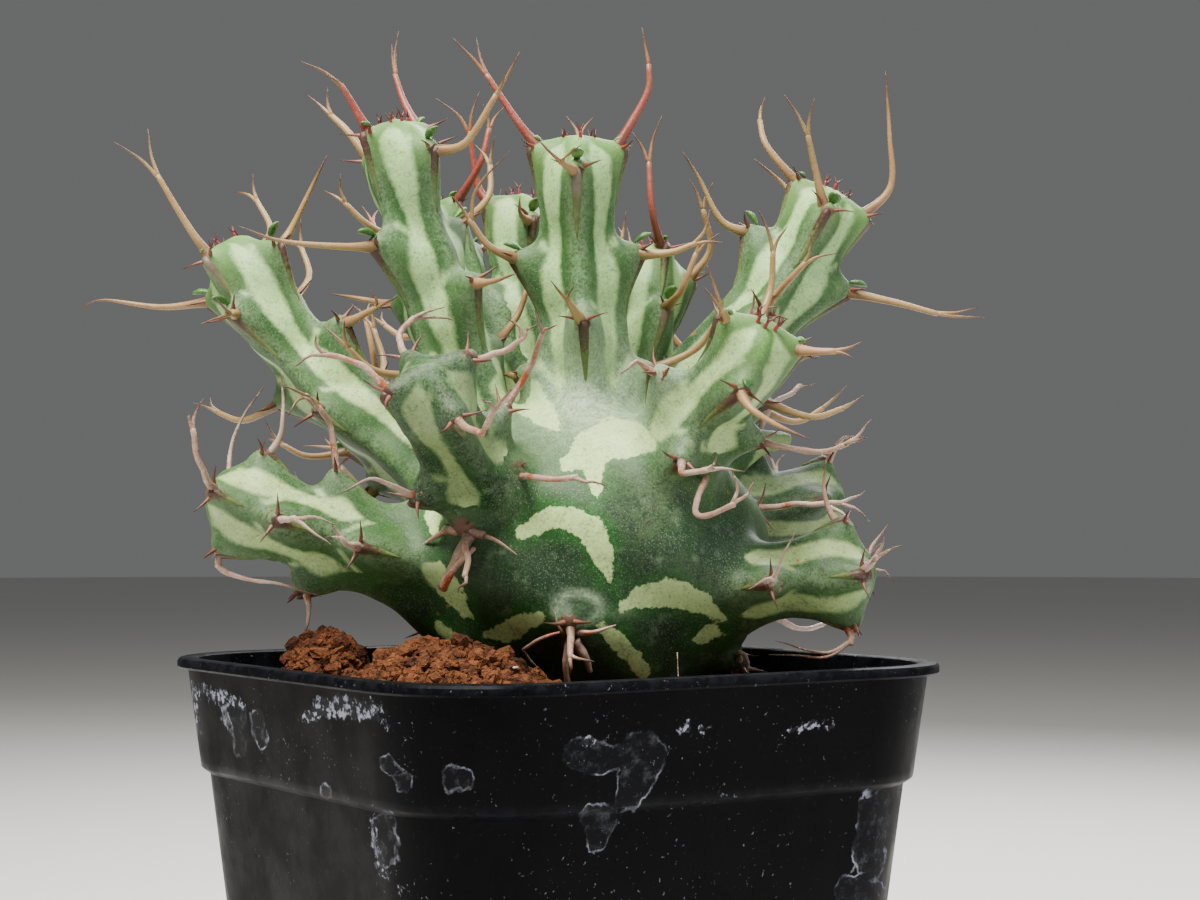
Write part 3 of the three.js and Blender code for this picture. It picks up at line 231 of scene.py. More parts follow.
ARMS: dict[str, ArmPlan] = {
    "arm_upper_left": ArmPlan(
        path=((-9, 21.5, 0), (-17.5, 28.5, 0), (-28, 36.5, 2), (-39, 47.5, 4), (-47.5, 60, 5)),
        radii=(8.5, 7.5, 6.2, 5.8, 5.2), turn=-28, levels=(0.97, 0.9, 0.8, 0.6, 0.46, 0.28), bare=("5/1",),
        spines={
            "0/0": (((-52, 62.5, 1), (-58, 71, -1)), ((-64.5, 76, -2), (-59.5, 78, 0))),
            "1/1": (((-39, 62, 3), (-33, 74, 2)), ()),
            "1/3": (((-57, 51.5, 10), (-66.5, 52.5, 11), (-69, 51.5, 11)), ()),
            "2/0": (((-47, 50.5, -8),), ((-49.5, 53, -12), (-51.5, 49, -12))),
            "3/1": (((-25.5, 51.5, -4),), ((-26.5, 54, -5), (-22.5, 53, -6))),
            "4/0": (((-36, 38.5, -10),), ((-39.5, 40, -13), (-38.5, 35.5, -13))),
            "5/3": (((-27.5, 22, 3), (-29.5, 20.5, 2)), ()),
        }),
    "arm_top_left": ArmPlan(
        path=((-9, 28, 0), (-14.5, 46, -4), (-19, 60, -6), (-21.5, 70, -7), (-23, 78, -8)),
        radii=(8.5, 6.6, 6, 5.5, 4.6), turn=45, first_pair=1,
        red_top=True, levels=(0.98, 0.9, 0.67, 0.5, 0.3),
        spines={
            "0/1": (((-22, 83, -2), (-23, 86, -1)), ((-23.5, 90.5, 0), (-22.5, 92.5, 0))),
            "0/3": (((-29.5, 82, -12), (-31, 84.5, -13)), ((-37, 88, -14), (-33.5, 86, -15))),
            "1/0": (((-13, 75.5, -14), (-8, 83, -17)), ((-6.5, 86.5, -19), (-4.5, 89.5, -18))),
            "1/2": (((-30, 77.5, -2), (-32.5, 80, 0)), ((-36, 83, 1), (-33, 84, 0))),
            "2/3": (((-31, 60.5, -16), (-40.5, 61.5, -19), (-46, 63.5, -20)), ()),
            "3/0": (((-8, 55.5, -16), (-5, 56.5, -18)), ()),
            "3/2": (((-26.5, 52.5, 5), (-32.5, 53.5, 8)), ()),
        }),
    "arm_top_middle": ArmPlan(
        path=((5.5, 30, 0), (5, 46.5, -3), (4, 61, -5), (4, 75.5, -6)),
        radii=(8.5, 7, 5.9, 5.3), first_pair=1,
        red_top=True, levels=(0.98, 0.88, 0.62, 0.42, 0.24),
        spines={
            "0/1": (((12, 79, -6), (14.5, 84, -6), (14.5, 87.5, -6)), ((13.5, 93, -6),)),
            "0/3": (((-4.5, 78.5, -6), (-9.5, 86, -6)), ((-14.5, 91.5, -6), (-11, 91.5, -5))),
            "1/0": (((1.5, 73, -19),), ((-2, 76.5, -22), (4.5, 75.5, -22))),
            "2/1": (((17.5, 59.5, -7), (21.5, 61, -8)), ((23.5, 66, -8), (25.5, 61, -8))),
            "2/3": (((-9, 60.5, -7), (-12, 64.5, -8)), ((-14, 67.5, -8), (-3.5, 74.5, -9))),
            "3/0": (((2.5, 52.5, -17),), ((0, 55.5, -20), (3.5, 54.5, -20))),
        }),
    "arm_upper_right": ArmPlan(
        path=((10, 28, 4), (22, 40, 7), (31.5, 51, 8), (37.5, 60, 9), (41.5, 67.5, 10)),
        radii=(8.5, 7, 6.4, 6, 5), first_pair=1,
        levels=(0.99, 0.9, 0.77, 0.56, 0.4), bare=("4/3",),
        spines={
            "0/1": (((50, 69, 10), (50, 77, 9), (49.5, 86.5, 9)), ()),
            "1/0": (((39, 72, 1), (38, 77, -1)), ((34.5, 83, -2), (39, 82.5, -3))),
            "1/2": (((35, 69, 21), (30, 73.5, 20)), ()),
            "2/1": (((51.5, 52, 7), (57, 50.5, 7)), ((63, 51.5, 7), (64, 50, 7))),
            "2/3": (((25.5, 64, 8), (22, 70.5, 7), (19.5, 74.5, 6)), ()),
        }),
    "arm_front_right": ArmPlan(
        path=((13, 24, -8), (22, 35.5, -18), (28.5, 43, -25), (31.5, 48.5, -28)),
        radii=(6.6, 6.3, 5.5, 4.6), turn=12, first_pair=1, levels=(0.95, 0.8, 0.52, 0.4),
        old_from=2, shade=0.2,
        spines={
            "0/1": (((39.5, 45, -30), (42, 45, -31)), ((46, 46.5, -32), (44.5, 44, -32))),
            "0/3": (((25.5, 51, -31),), ((22.5, 54.5, -33), (23, 58, -32))),
            "1/0": (((29.5, 36.5, -34), (32.5, 34.5, -35), (38, 32, -36)), ()),
            "2/3": (((12.5, 43.5, -23), (10, 41.5, -26)), ()),
        }),
    "arm_low_right": ArmPlan(
        path=((13, 10.5, -4), (23.5, 10, -10), (35, 11.5, -14), (46.5, 12.5, -16)),
        radii=(8, 6.6, 5.6, 4.4), levels=(0.97, 0.9, 0.62), age=Age.OLD,
        shade=0.5,
        spines={
            "0/0": (((48, 15, -25),), ((49, 18.5, -27), (51.5, 16.5, -27))),
            "0/2": (((47.5, 16.5, -6), (49.5, 19.5, -5)), ()),
            "1/1": (((44, 2, -17),), ((32, 0.5, -18), (33, 2.5, -19))),
            "1/3": (((40.5, 23, -14), (40.5, 29.5, -14)), ()),
            "2/0": (((32.5, 11.5, -27),), ((36, 18.5, -29), (29, 10, -30))),
        }),
    "arm_right_back": ArmPlan(
        path=((14.5, 19, 8), (25, 21, 16), (33.5, 22, 20), (42, 23.5, 22)),
        radii=(8, 6.2, 5.8, 4.6), first_pair=1,
        bare=("2/1", "3/2"), age=Age.OLD, shade=0.75,
        spines={
            "0/1": (((45, 15.5, 22), (49, 17, 22)), ()),
            "0/3": (((43, 31.5, 21), (46, 32.5, 20)), ()),
            "1/0": (((42, 21.5, 9), (45, 19, 7)), ()),
        }),
    "arm_low_left": ArmPlan(
        path=((-9, 12, -3), (-22, 15, -9), (-34, 18.5, -11), (-42.5, 21.5, -12), (-49, 24.5, -12)),
        radii=(11, 8.6, 6.2, 5.8, 4.6), levels=(0.97, 0.88, 0.74, 0.6, 0.46), age=Age.OLD, shade=0.3,
        stripe_from=17,
        spines={
            "0/0": (((-51, 28, -22), (-52.5, 33.5, -24)), ((-53.5, 36, -25), (-51, 38, -24))),
            "0/2": (((-47.5, 27, -2), (-46.5, 33, 0), (-42, 40, 0)), ()),
            "1/1": (((-39.5, 32.5, -12), (-39.5, 42, -12)), ()),
            "1/3": (((-48.5, 13.5, -12), (-40, 12, -13), (-33.5, 9, -14)), ()),
            "2/0": (((-37.5, 20.5, -25),), ((-31, 19.5, -29), (-32, 16.5, -29))),
            "3/3": (((-35.5, 6, -12), (-36, 3, -12)), ()),
        }),
    "arm_front_left": ArmPlan(
        path=((-7, 21, -7), (-12.5, 28.5, -22), (-16.5, 36.5, -32), (-18, 42, -37)),
        radii=(5.6, 5.8, 5.8, 5), turn=22, first_pair=1, levels=(0.97, 0.9, 0.5), age=Age.OLD,
        shade=1.0,
        spines={
            "0/1": (((-7.5, 45, -33.5), (-4, 47, -34)), ((-2, 49, -35), (-6.5, 50, -35))),
            "0/3": (((-30, 44, -38), (-33.5, 44.5, -39)), ((-38, 42.5, -40), (-34.5, 47.5, -40))),
            "1/2": (((-22.5, 47, -27), (-20, 50, -26)), ((-15.5, 51.5, -26), (-14, 49.5, -26))),
            "2/3": (((-26.5, 26, -34), (-31, 24, -36)), ()),
        }),
    "arm_behind_top_left": ArmPlan(
        path=((-3, 31, 8), (-10.5, 47.5, 14), (-15, 58, 18), (-17.5, 65.5, 20)),
        radii=(7.5, 5.8, 5.4, 4.6), turn=50, red_top=True, levels=(0.96, 0.82, 0.6, 0.4),
        bare=("2/0", "3/1")),
    "arm_behind_top_middle": ArmPlan(
        path=((1.5, 31, 8), (-2, 46.5, 13), (-4.5, 57, 17), (-4.5, 67, 20)),
        radii=(7.5, 5.4, 4.8, 4.4), turn=20, first_pair=1, red_top=True, levels=(0.96, 0.84, 0.6),
        spines={
            "0/3": (((-9.5, 68.5, 19), (-12, 77.5, 18)), ((-17, 82.5, 18), (-10.5, 83.5, 18))),
            "1/0": (((-4.5, 65.5, 8), (-4.5, 68, 7)), ()),
        }),
    "arm_behind_top_right": ArmPlan(
        path=((9.5, 31, 6), (13, 43.5, 12), (14.5, 52.5, 16), (15, 59.5, 18)),
        radii=(7.5, 5.6, 4.8, 4.2), turn=20, red_top=True, levels=(0.96, 0.86, 0.6, 0.4),
        spines={
            "0/0": (((15, 66, 9), (14.5, 73, 9)), ((12, 77.5, 9), (16.5, 80, 9))),
            "1/1": (((23.5, 60, 18), (22.5, 66, 16)), ((20.5, 70.5, 15), (24, 70, 15))),
            "2/0": (((19.5, 54.5, 2), (21.5, 59.5, 1)), ((22.5, 62.5, 0), (25, 62.5, 0))),
            "3/1": (((25.5, 41.5, 14), (29, 44, 14)), ()),
        }),
    "arm_back_left": ArmPlan(
        path=((-3, 20, 8), (-15, 26, 21), (-22, 31, 29), (-26, 36, 33)),
        turn=30,
        bare=("2/2",)),
    "arm_back_middle": ArmPlan(
        path=((6, 19, 10), (7, 22, 26), (8, 27, 36), (9, 33, 42)),
        first_pair=1),
    "arm_back_right": ArmPlan(
        path=((12, 24, 8), (20, 32, 21), (25, 38, 29), (27, 43, 34)),
        turn=15),
    "arm_back_low_left": ArmPlan(
        path=((-3, 11, 8), (-14, 11.5, 21), (-21, 14, 29), (-24, 18, 33)),
        radii=(7.5, 6.2, 5.4, 4.4), first_pair=1, levels=(0.96, 0.82, 0.56),
        age=Age.OLD),
    "arm_back_low_right": ArmPlan(
        path=((13, 11, 10), (21, 9, 23), (25.5, 10, 31), (27.5, 13.5, 37)),
        radii=(7.5, 6.2, 5.4, 4.4), levels=(0.96, 0.82, 0.56),
        age=Age.OLD),
}

# Old tubercles on the globe that show from the front: place across and up, rise, spine and its tips.
GLOBE_TUBERCLES = (
    ((-11, 17.5), 3, ((-12.5, 12, -33),), ((-13.5, 9.5, -33),)),
    ((-4.5, 25.5), 2, ((-1, 26, -31), (4, 26.5, -33)), ((8.5, 25, -34),)),
    ((22, 25.5), 3, ((22.5, 21, -30), (27, 22.5, -33)), ((30, 26, -33), (26.5, 28, -33))),
    ((3, 5), 2.5, ((3, 0, -30),), ((3, -2.5, -30), (6.5, -0.5, -30))),
    ((25, 0), 4, ((28, 0.5, -11), (29, -2.5, -11)), ()),
)
BACK_TUBERCLES = ((18, 1), (94, 0), (163, -2))  # bearing from the right over the back, and height
BACK_RISE = 2.5


@dataclass(frozen=True)
class GrowthSizes:
    """Sizes that the solids and the dressed plant share: millimetres, counts and shares."""

    ribs: int = 4
    rise: tuple = (1, 2.4, 3.2, 3, 2.4, 1.8)  # of a tubercle over its rib, level by level
    lean: float = 1.2
    lean_share: float = 0.3  # of the way to the tubercle above
    leafy: tuple = (1, 2)
    prickle: float = 4.2
    prickle_spread: tuple = (0.85, 0.4, 0.25)  # across, out and up
    stump: float = 2.2
    tries: int = 14
    spine_length: float = 15
    spine_start: float = 1.15
    spine_shrink: float = 0.05  # from one try to the next
    spine_vary: tuple = (0.85, 0.2)  # least, and what chance adds
    fork_rise: tuple = (0.2, 0.15)
    fork_sway: float = 0.3
    bend: tuple = (0.42, 0.2)  # out and ahead
    fork_out: float = 0.16
    tip: tuple = (0.14, 0.06, 0.22)  # across, out and ahead of the fork
    spine_clear: float = 1.2
    spine_apart: float = 1.9
    spine_stops: tuple = (0.25, 0.5, 0.75, 1)
    stem_stops: int = 12
    off_stem: float = 2.6
    soil_clear: float = 1
    pot_reach: float = 34


GROWTH = GrowthSizes()


@dataclass(frozen=True)
class Globe:
    """The plant's globe-shaped body."""

    centre: Points = field(default_factory=lambda: np.array((5.5, 0.0, 14.5)))
    radii: Points = field(default_factory=lambda: np.array((26.0, 25.0, 23.0)))
    passes: int = 4
    front_least: float = 0.02
    side_least: float = 0.05

    def normal(self, point: Points) -> Points:
        """The outward direction of the globe's surface at one point or many."""
        return unit((point - self.centre) / self.radii ** 2)

    def front(self, across: float, up: float) -> Points:
        """The point of the globe's front that shows at a place across and up."""
        depth = -self.radii[1]
        for _ in range(self.passes):
            point = PLANT.seen((across, up, depth))[0]
            rest = (1 - ((point[0] - self.centre[0]) / self.radii[0]) ** 2
                    - ((point[2] - self.centre[2]) / self.radii[2]) ** 2)
            depth = self.centre[1] - self.radii[1] * math.sqrt(max(rest, self.front_least))
        return PLANT.seen((across, up, depth))[0]

    def side(self, angle: float, height: float) -> Points:
        """The point of the globe's surface at an angle from the right and a height."""
        rest = 1 - ((height - self.centre[2]) / self.radii[2]) ** 2
        share = math.sqrt(max(rest, self.side_least))
        return np.array([self.centre[0] + math.cos(angle) * self.radii[0] * share,
                         self.centre[1] + math.sin(angle) * self.radii[1] * share, height])


GLOBE = Globe()


class ArmLine:
    """The middle line of an arm, with its tangents, its front and side directions and its radii."""

    COUNT = 121
    STRIDE = 3
    CHUNK = 60000

    def __init__(self, plan: ArmPlan) -> None:
        """Lays the line through the plan's points."""
        self.points = curve_through(PLANT.seen(plan.path), self.COUNT)
        self.ahead = unit(np.gradient(self.points, axis=0))
        front = np.array([0.0, -1.0, 0.0]) - self.ahead * -self.ahead[:, 1:2]
        self.front = unit(front)
        self.side = np.cross(self.ahead, self.front)
        steps = np.linalg.norm(np.diff(self.points, axis=0), axis=1)
        self.reach = np.concatenate([[0], np.cumsum(steps)])
        self.length = float(self.reach[-1])
        shares = np.linspace(0, 1, len(plan.radii))
        self.radius = np.interp(self.reach / self.length, shares, plan.radii)
        self.turn = math.radians(plan.turn)

    def at(self, share: float) -> tuple[Points, Points, Points, Points, float]:
        """The place, ahead, front and side directions and radius at a share of the length."""
        spot = share * self.length
        place, ahead, front, side = (
            np.array([np.interp(spot, self.reach, values[:, axis]) for axis in range(3)])
            for values in (self.points, self.ahead, self.front, self.side))
        return place, unit(ahead), unit(front), unit(side), float(np.interp(spot, self.reach, self.radius))

    def rib_direction(self, share: float, rib: float) -> Points:
        """The outward direction of a rib at a share of the length."""
        _, _, front, side, _ = self.at(share)
        angle = self.turn + rib * math.tau / GROWTH.ribs
        return front * math.cos(angle) + side * math.sin(angle)

    def project(self, points: Points) -> tuple[Points, Points, Points]:
        """Reads points against the line.

        Args:
            points: Points of the plant's frame.

        Returns:
            How far along the line each lies, its distance from the line, and its angle about it.
        """
        along, away, angle = (np.empty(len(points)) for _ in range(3))
        stops = self.points[::self.STRIDE]
        for start in range(0, len(points), self.CHUNK):
            chunk = slice(start, start + self.CHUNK)
            part = points[chunk]
            gaps = (part ** 2).sum(1)[:, None] - 2 * part @ stops.T + (stops ** 2).sum(1)[None, :]
            index = gaps.argmin(1) * self.STRIDE
            offset = part - self.points[index]
            forward = (offset * self.ahead[index]).sum(1)
            radial = offset - self.ahead[index] * forward[:, None]
            along[chunk] = self.reach[index] + forward
            away[chunk] = np.linalg.norm(radial, axis=1)
            angle[chunk] = np.arctan2((radial * self.side[index]).sum(1),
                                      (radial * self.front[index]).sum(1))
        return along, away, angle


@dataclass
class Spine:
    """A spine's points from its shield to its fork, its tips and the length of its prickles."""

    main: Points
    tips: list
    prickle: float = GROWTH.prickle


@dataclass
class Tubercle:
    """One tubercle: where its tip stands and what grows on it."""

    owner: str
    centre: Points
    outward: Points
    ahead: Points
    age: Age
    level: int = 5
    rib: int = 0
    along: float = 0.0
    leafy: bool = False
    root: Points | None = None
    spine: Spine | None = None

    @property
    def across(self) -> Points:
        """The direction to the right of the tubercle, seen from outside."""
        return unit(np.cross(self.ahead, self.outward))

    @property
    def up(self) -> Points:
        """The direction along the rib, square to the tubercle."""
        return np.cross(self.outward, self.across)

    def prickle_tips(self, length: float) -> Points:
        """The ends of the pair of prickles."""
        across, out, up = GROWTH.prickle_spread
        return np.array([self.centre + self.across * hand * length * across
                         + self.outward * length * out + self.up * length * up
                         for hand in (-1, 1)])


class Thicket:
    """The room that stems and spines take, so that spines by rule grow clear of them."""

    def __init__(self) -> None:
        """Starts with no stems and no spines."""
        self.stems: list[tuple[str, Points, float]] = []
        self.spines: list[tuple[str, Points]] = []

    def add_stem(self, owner: str, line: ArmLine) -> None:
        """Takes up the room of an arm's stem."""
        for step in range(GROWTH.stem_stops + 1):
            place, _, _, _, radius = line.at(step / GROWTH.stem_stops)
            self.stems.append((owner, place, radius + GROWTH.off_stem))

    def add_spine(self, owner: str, points: Points) -> None:
        """Takes up the room of a spine or a pair of prickles."""
        self.spines += [(owner, point) for point in points]

    def is_clear(self, owner: str, points: Points) -> bool:
        """Whether points keep clear of all other stems, and of all spines but those of their shield."""
        stem = owner.split(" ")[0]
        low = points[:, 2] <= GROWTH.soil_clear
        if (low & (np.hypot(points[:, 0], points[:, 1]) >= GROWTH.pot_reach)).any():
            return False
        others = [(place, reach) for name, place, reach in self.stems if name != stem]
        places = np.array([place for place, _ in others])
        reaches = np.array([reach for _, reach in others])
        gaps = np.linalg.norm(points[:, None] - places[None], axis=2)
        if (gaps <= reaches).any():
            return False
        spots = np.array([place for name, place in self.spines if name != owner])
        if len(spots) == 0:
            return True
        return bool((np.linalg.norm(points[:, None] - spots[None], axis=2) > GROWTH.spine_apart).all())


def points_along(centre: Points, spine: Spine) -> Points:
    """Points along a spine, from its root to its tips."""
    stops = [centre, *spine.main]
    legs = list(zip(stops, stops[1:])) + [(stops[-1], tip) for tip in spine.tips]
    return np.array([start + (end - start) * share for start, end in legs
                     for share in GROWTH.spine_stops])


def forked_spine(knob: Tubercle, length: float, rise: float, sway: float) -> Spine:
    """A forked spine of a given length, for a tubercle that doesn't show from the front."""
    across = np.cross(knob.outward, knob.ahead)
    bend_out, bend_ahead = GROWTH.bend
    bend = knob.centre + knob.outward * length * bend_out + knob.ahead * length * bend_ahead
    fork = (bend + knob.outward * length * GROWTH.fork_out + knob.ahead * length * rise
            + across * length * sway)
    tip_across, tip_out, tip_ahead = GROWTH.tip
    tips = [fork + across * length * (hand * tip_across + sway) + knob.outward * length * tip_out
            + knob.ahead * length * tip_ahead for hand in (-1, 1)]
    return Spine(np.array([bend, fork]), tips)


def grow_spine(knob: Tubercle, shown: Spine | None, thicket: Thicket,
               draw: Callable[[], float]) -> Spine:
    """The spine of a shield: the one that shows, or else the first by rule that has room.

    Args:
        knob: The tubercle that carries it.
        shown: The spine that shows from the front, if it does.
        thicket: The room that is taken.
        draw: The stream of random numbers.

    Returns:
        The spine with the length of its prickles.
    """
    room = thicket.is_clear(knob.owner, knob.prickle_tips(GROWTH.prickle))
    prickle = GROWTH.prickle if room else GROWTH.stump
    thicket.add_spine(knob.owner, knob.prickle_tips(prickle))
    if shown:
        return Spine(shown.main, shown.tips, prickle)
    least, vary = GROWTH.spine_vary
    rise, rise_vary = GROWTH.fork_rise
    for attempt in range(GROWTH.tries):
        length = (GROWTH.spine_length * (GROWTH.spine_start - GROWTH.spine_shrink * attempt)
                  * (least + vary * draw()))
        spine = forked_spine(knob, length, rise + rise_vary * draw(), GROWTH.fork_sway * (draw() - 0.5))
        points = points_along(knob.centre, spine)
        if thicket.is_clear(knob.owner, points):
            thicket.add_spine(knob.owner, points)
            return Spine(spine.main, spine.tips, prickle)
    return Spine(np.array([knob.centre + knob.outward * GROWTH.stump]), [], prickle)


class Arm:
    """One arm with its line and its tubercles."""

    def __init__(self, name: str, plan: ArmPlan) -> None:
        """Lays the line of the arm of a CAD node, and sets its tubercles on it."""
        self.name = name
        self.plan = plan
        self.line = ArmLine(plan)
        self.tubercles = [self._tubercle(level, rib)
                          for level in reversed(range(len(plan.levels)))
                          for rib in range(GROWTH.ribs) if self._carries(level, rib)]

    def _carries(self, level: int, rib: int) -> bool:
        """Whether a rib carries a tubercle at a level."""
        return ((rib + self.plan.first_pair + level) % 2 == 0
                and f"{level}/{rib}" not in self.plan.bare)

    def _tubercle(self, level: int, rib: int) -> Tubercle:
        """The tubercle at a level and rib."""
        share = self.plan.levels[level]
        place, ahead, _, _, radius = self.line.at(share)
        outward = self.line.rib_direction(share, rib)
        above = self.plan.levels[level - 1] if level > 0 else 1
        lean = min(GROWTH.lean, (above - share) * self.line.length * GROWTH.lean_share)
        centre = place + outward * (radius + GROWTH.rise[level]) + ahead * lean
        plan, age = self.plan, self.plan.age
        if plan.red_top and level == 0:
            age = Age.NEW
        if plan.old_from is not None and level >= plan.old_from:
            age = Age.OLD
        return Tubercle(f"{self.name} {level}/{rib}", centre, outward, ahead, age, level, rib,
                        share * self.line.length, level in GROWTH.leafy)

    def shown_spine(self, knob: Tubercle) -> Spine | None:
        """The spine that shows at a tubercle, moved clear of the arm's own stem."""
        shown = self.plan.spines.get(f"{knob.level}/{knob.rib}")
        if not shown:
            return None
        spots = self.line.points[::4]
        nearest = spots[np.linalg.norm(spots - knob.centre, axis=1).argmin()]
        stand = np.linalg.norm(knob.centre - nearest) + GROWTH.spine_clear

        def clear(place: Points) -> Points:
            """A place moved away from the arm's line until it stands clear of the skin."""
            foot = spots[np.linalg.norm(spots - place, axis=1).argmin()]
            away = place - foot
            distance = np.linalg.norm(away)
            return foot + away / distance * max(distance, stand)

        main, tips = shown
        return Spine(np.array([clear(place) for place in PLANT.seen(main)]),
                     [clear(place) for place in PLANT.seen(tips)] if tips else [])


def globe_tubercles() -> list[tuple[Tubercle, Spine | None]]:
    """The old tubercles of the globe, with the spines that show on them."""
    found = []

    def standing(root: Points, rise: float, spine: Spine | None) -> None:
        """Adds a tubercle that rises so far from its root on the globe."""
        outward = GLOBE.normal(root)
        ahead = unit(np.array([0.0, 0.0, 1.0]) - outward * outward[2])
        centre = root + outward * rise + ahead * GROWTH.lean
        knob = Tubercle(f"plant_body {len(found)}", centre, outward, ahead, Age.OLD, root=root)
        found.append((knob, spine))

    for (across, up), rise, main, tips in GLOBE_TUBERCLES:
        shown = Spine(PLANT.seen(main), list(PLANT.seen(tips)) if tips else [])
        standing(GLOBE.front(across, up), rise, shown)
    for bearing, height in BACK_TUBERCLES:
        standing(GLOBE.side(math.radians(bearing), height), BACK_RISE, None)
    return found


class Plant:
    """The whole plant's plan: its arms, the globe's tubercles and every spine."""

    def __init__(self) -> None:
        """Lays out the arms and grows the spines in the order in which the solids were made."""
        draw = random_stream(7)
        thicket = Thicket()
        self.arms = [Arm(name, plan) for name, plan in ARMS.items()]
        for arm in self.arms:
            thicket.add_stem(arm.name, arm.line)
            knobs = {f"{knob.level}/{knob.rib}": knob for knob in arm.tubercles}
            for place in arm.plan.spines:
                knob = knobs[place]
                thicket.add_spine(knob.owner, points_along(knob.centre, arm.shown_spine(knob)))
        self.globe_knobs = []
        for knob, shown in globe_tubercles():
            knob.spine = grow_spine(knob, shown, thicket, draw)
            self.globe_knobs.append(knob)
        for arm in self.arms:
            for knob in arm.tubercles:
                knob.spine = grow_spine(knob, arm.shown_spine(knob), thicket, draw)

    @property
    def tubercles(self) -> list[Tubercle]:
        """Every tubercle of the plant."""
        return self.globe_knobs + [knob for arm in self.arms for knob in arm.tubercles]


# ---------------------------------------------------------------- the skin as one surface

QUARTER = math.pi / 2


def smooth_min(first: Points, second: Points, blend: float) -> Points:
    """The smaller of two distances, rounded where they are close."""
    overlap = np.maximum(blend - np.abs(first - second), 0)
    return np.minimum(first, second) - overlap ** 2 / (4 * blend)


def rod_distance(points: Points, start: Points, end: Points, radius: float, tip: float) -> Points:
    """The distance to a rod whose radius changes from start to end."""
    leg = end - start
    share = np.clip((points - start) @ leg / (leg @ leg), 0, 1)
    return np.linalg.norm(points - start - share[:, None] * leg, axis=1) - radius - (tip - radius) * share


@dataclass(frozen=True)
class ArmReading:
    """How points lie against an arm: along it, from it, and about it."""

    along: Points
    away: Points
    rib: Points
    off_rib: Points
    turned: Points
    reach: Points

    @property
    def distance(self) -> Points:
        """The distance to the arm's skin, negative inside, eased where the skin lies aslant."""
        slant = 0.8
        return (self.away - self.reach) * slant + np.maximum(0, -self.along)

    def taken(self, chosen: Points) -> "ArmReading":
        """The reading of the chosen points alone."""
        return ArmReading(*(getattr(self, part.name)[chosen] for part in fields(self)))


@dataclass
class ArmShape:
    """The cross-section of an arm: four ribs with tubercles, and shallow valleys between them."""

    arm: Arm
    valley: float = 0.68
    rib_share: float = 0.95
    squareness: float = 2.2
    dome: float = 0.9
    dome_power: float = 2.6
    short: float = 0.65
    past_share: float = 0.25
    past_slope: float = 1.5
    crest_width: float = 1.7
    crest_widening: float = 0.35
    crest_share: float = 0.7
    crest_least: float = 0.6
    crest_sink: float = 0.5
    crest_lean: float = 0.8
    below: float = 5.0
    above: float = 2.0
    knob_foot: float = 3.3
    knob_tip: float = 0.95
    knob_start: float = 0.3
    knob_drop: float = 3.0
    knob_sink: float = 0.7
    knob_near: float = 6.0
    knob_blend: float = 3.4
    halvings: int = 13

    def plain_reach(self, along: Points) -> Points:
        """The radius at the ribs, drawn in over the tip."""
        line = self.arm.line
        radius = np.interp(along, line.reach, line.radius)
        end = line.radius[-1]
        share = np.clip((along - (line.length - self.short * end)) / (self.dome * end), 0, 1)
        return radius * np.sqrt(1 - share ** self.dome_power)

    def crest(self, along: Points, rib: Points, off: Points) -> Points:
        """How far tubercles lift the ribs."""
        lift = np.zeros_like(along)
        line = self.arm.line
        for knob in self.arm.tubercles:
            mine = rib == knob.rib
            top = (np.interp(knob.along, line.reach, line.radius) + GROWTH.rise[knob.level]
                   - self.crest_sink
                   - self.rib_share * float(self.plain_reach(np.array([knob.along]))[0]))
            step = along[mine] - knob.along - GROWTH.lean * self.crest_lean
            width = np.where(step < 0, self.below, self.above)
            narrow = self.crest_width * (1 + self.crest_widening * smooth_step(-step, 0, 6))
            peak = self.crest_share * max(top, self.crest_least) * np.exp(
                -(step / width) ** 2 - (off[mine] / narrow) ** 2)
            lift[mine] = np.maximum(lift[mine], peak)
        return lift

    def reach_at(self, along: Points, angle: Points) -> tuple[Points, Points, Points, Points]:
        """The skin's distance from the middle line, with the nearest rib and how far off it lies."""
        turned = angle - self.arm.line.turn
        nearest = np.round(turned / QUARTER)
        delta = turned - nearest * QUARTER
        rib = nearest.astype(int) % GROWTH.ribs
        plain = self.plain_reach(along)
        share = self.valley + (self.rib_share - self.valley) * np.maximum(
            np.cos(2 * delta), 0) ** self.squareness
        off = np.abs(delta) * plain
        return plain * share + self.crest(along, rib, off), rib, off, delta

    def read(self, points: Points) -> ArmReading:
        """Reads points against the arm."""
        along, away, angle = self.arm.line.project(points)
        reach, rib, off, turned = self.reach_at(along, angle)
        line = self.arm.line
        past = np.maximum(0, along - line.length - self.past_share * line.radius[-1])
        return ArmReading(along, away + past * self.past_slope, rib, off, turned, reach)

    def distance(self, points: Points) -> Points:
        """The distance to the arm's skin with its tubercles, negative inside."""
        skin = self.read(points).distance
        for knob in self.arm.tubercles:
            place, _, _, _, radius = self.arm.line.at(knob.along / self.arm.line.length)
            start = place + (knob.centre - place) * self.knob_start - knob.ahead * self.knob_drop
            near = ((points - knob.centre) ** 2).sum(1) < (radius + self.knob_near) ** 2
            rod = rod_distance(points[near], start, knob.centre - knob.outward * self.knob_sink,
                               self.knob_foot, self.knob_tip)
            skin[near] = smooth_min(skin[near], rod, self.knob_blend)
        return skin

    def surface(self, starts: Points, directions: Points, far: float) -> Points:
        """Where rays from inside the arm come out of its skin.

        Args:
            starts: Where the rays start.
            directions: Their directions, at length one.
            far: How far out the skin may lie.

        Returns:
            The points on the skin.
        """
        low, high = np.zeros(len(starts)), np.full(len(starts), far)
        for _ in range(self.halvings):
            middle = (low + high) / 2
            inside = self.distance(starts + directions * middle[:, None]) < 0
            low, high = np.where(inside, middle, low), np.where(inside, high, middle)
        return starts + directions * low[:, None]


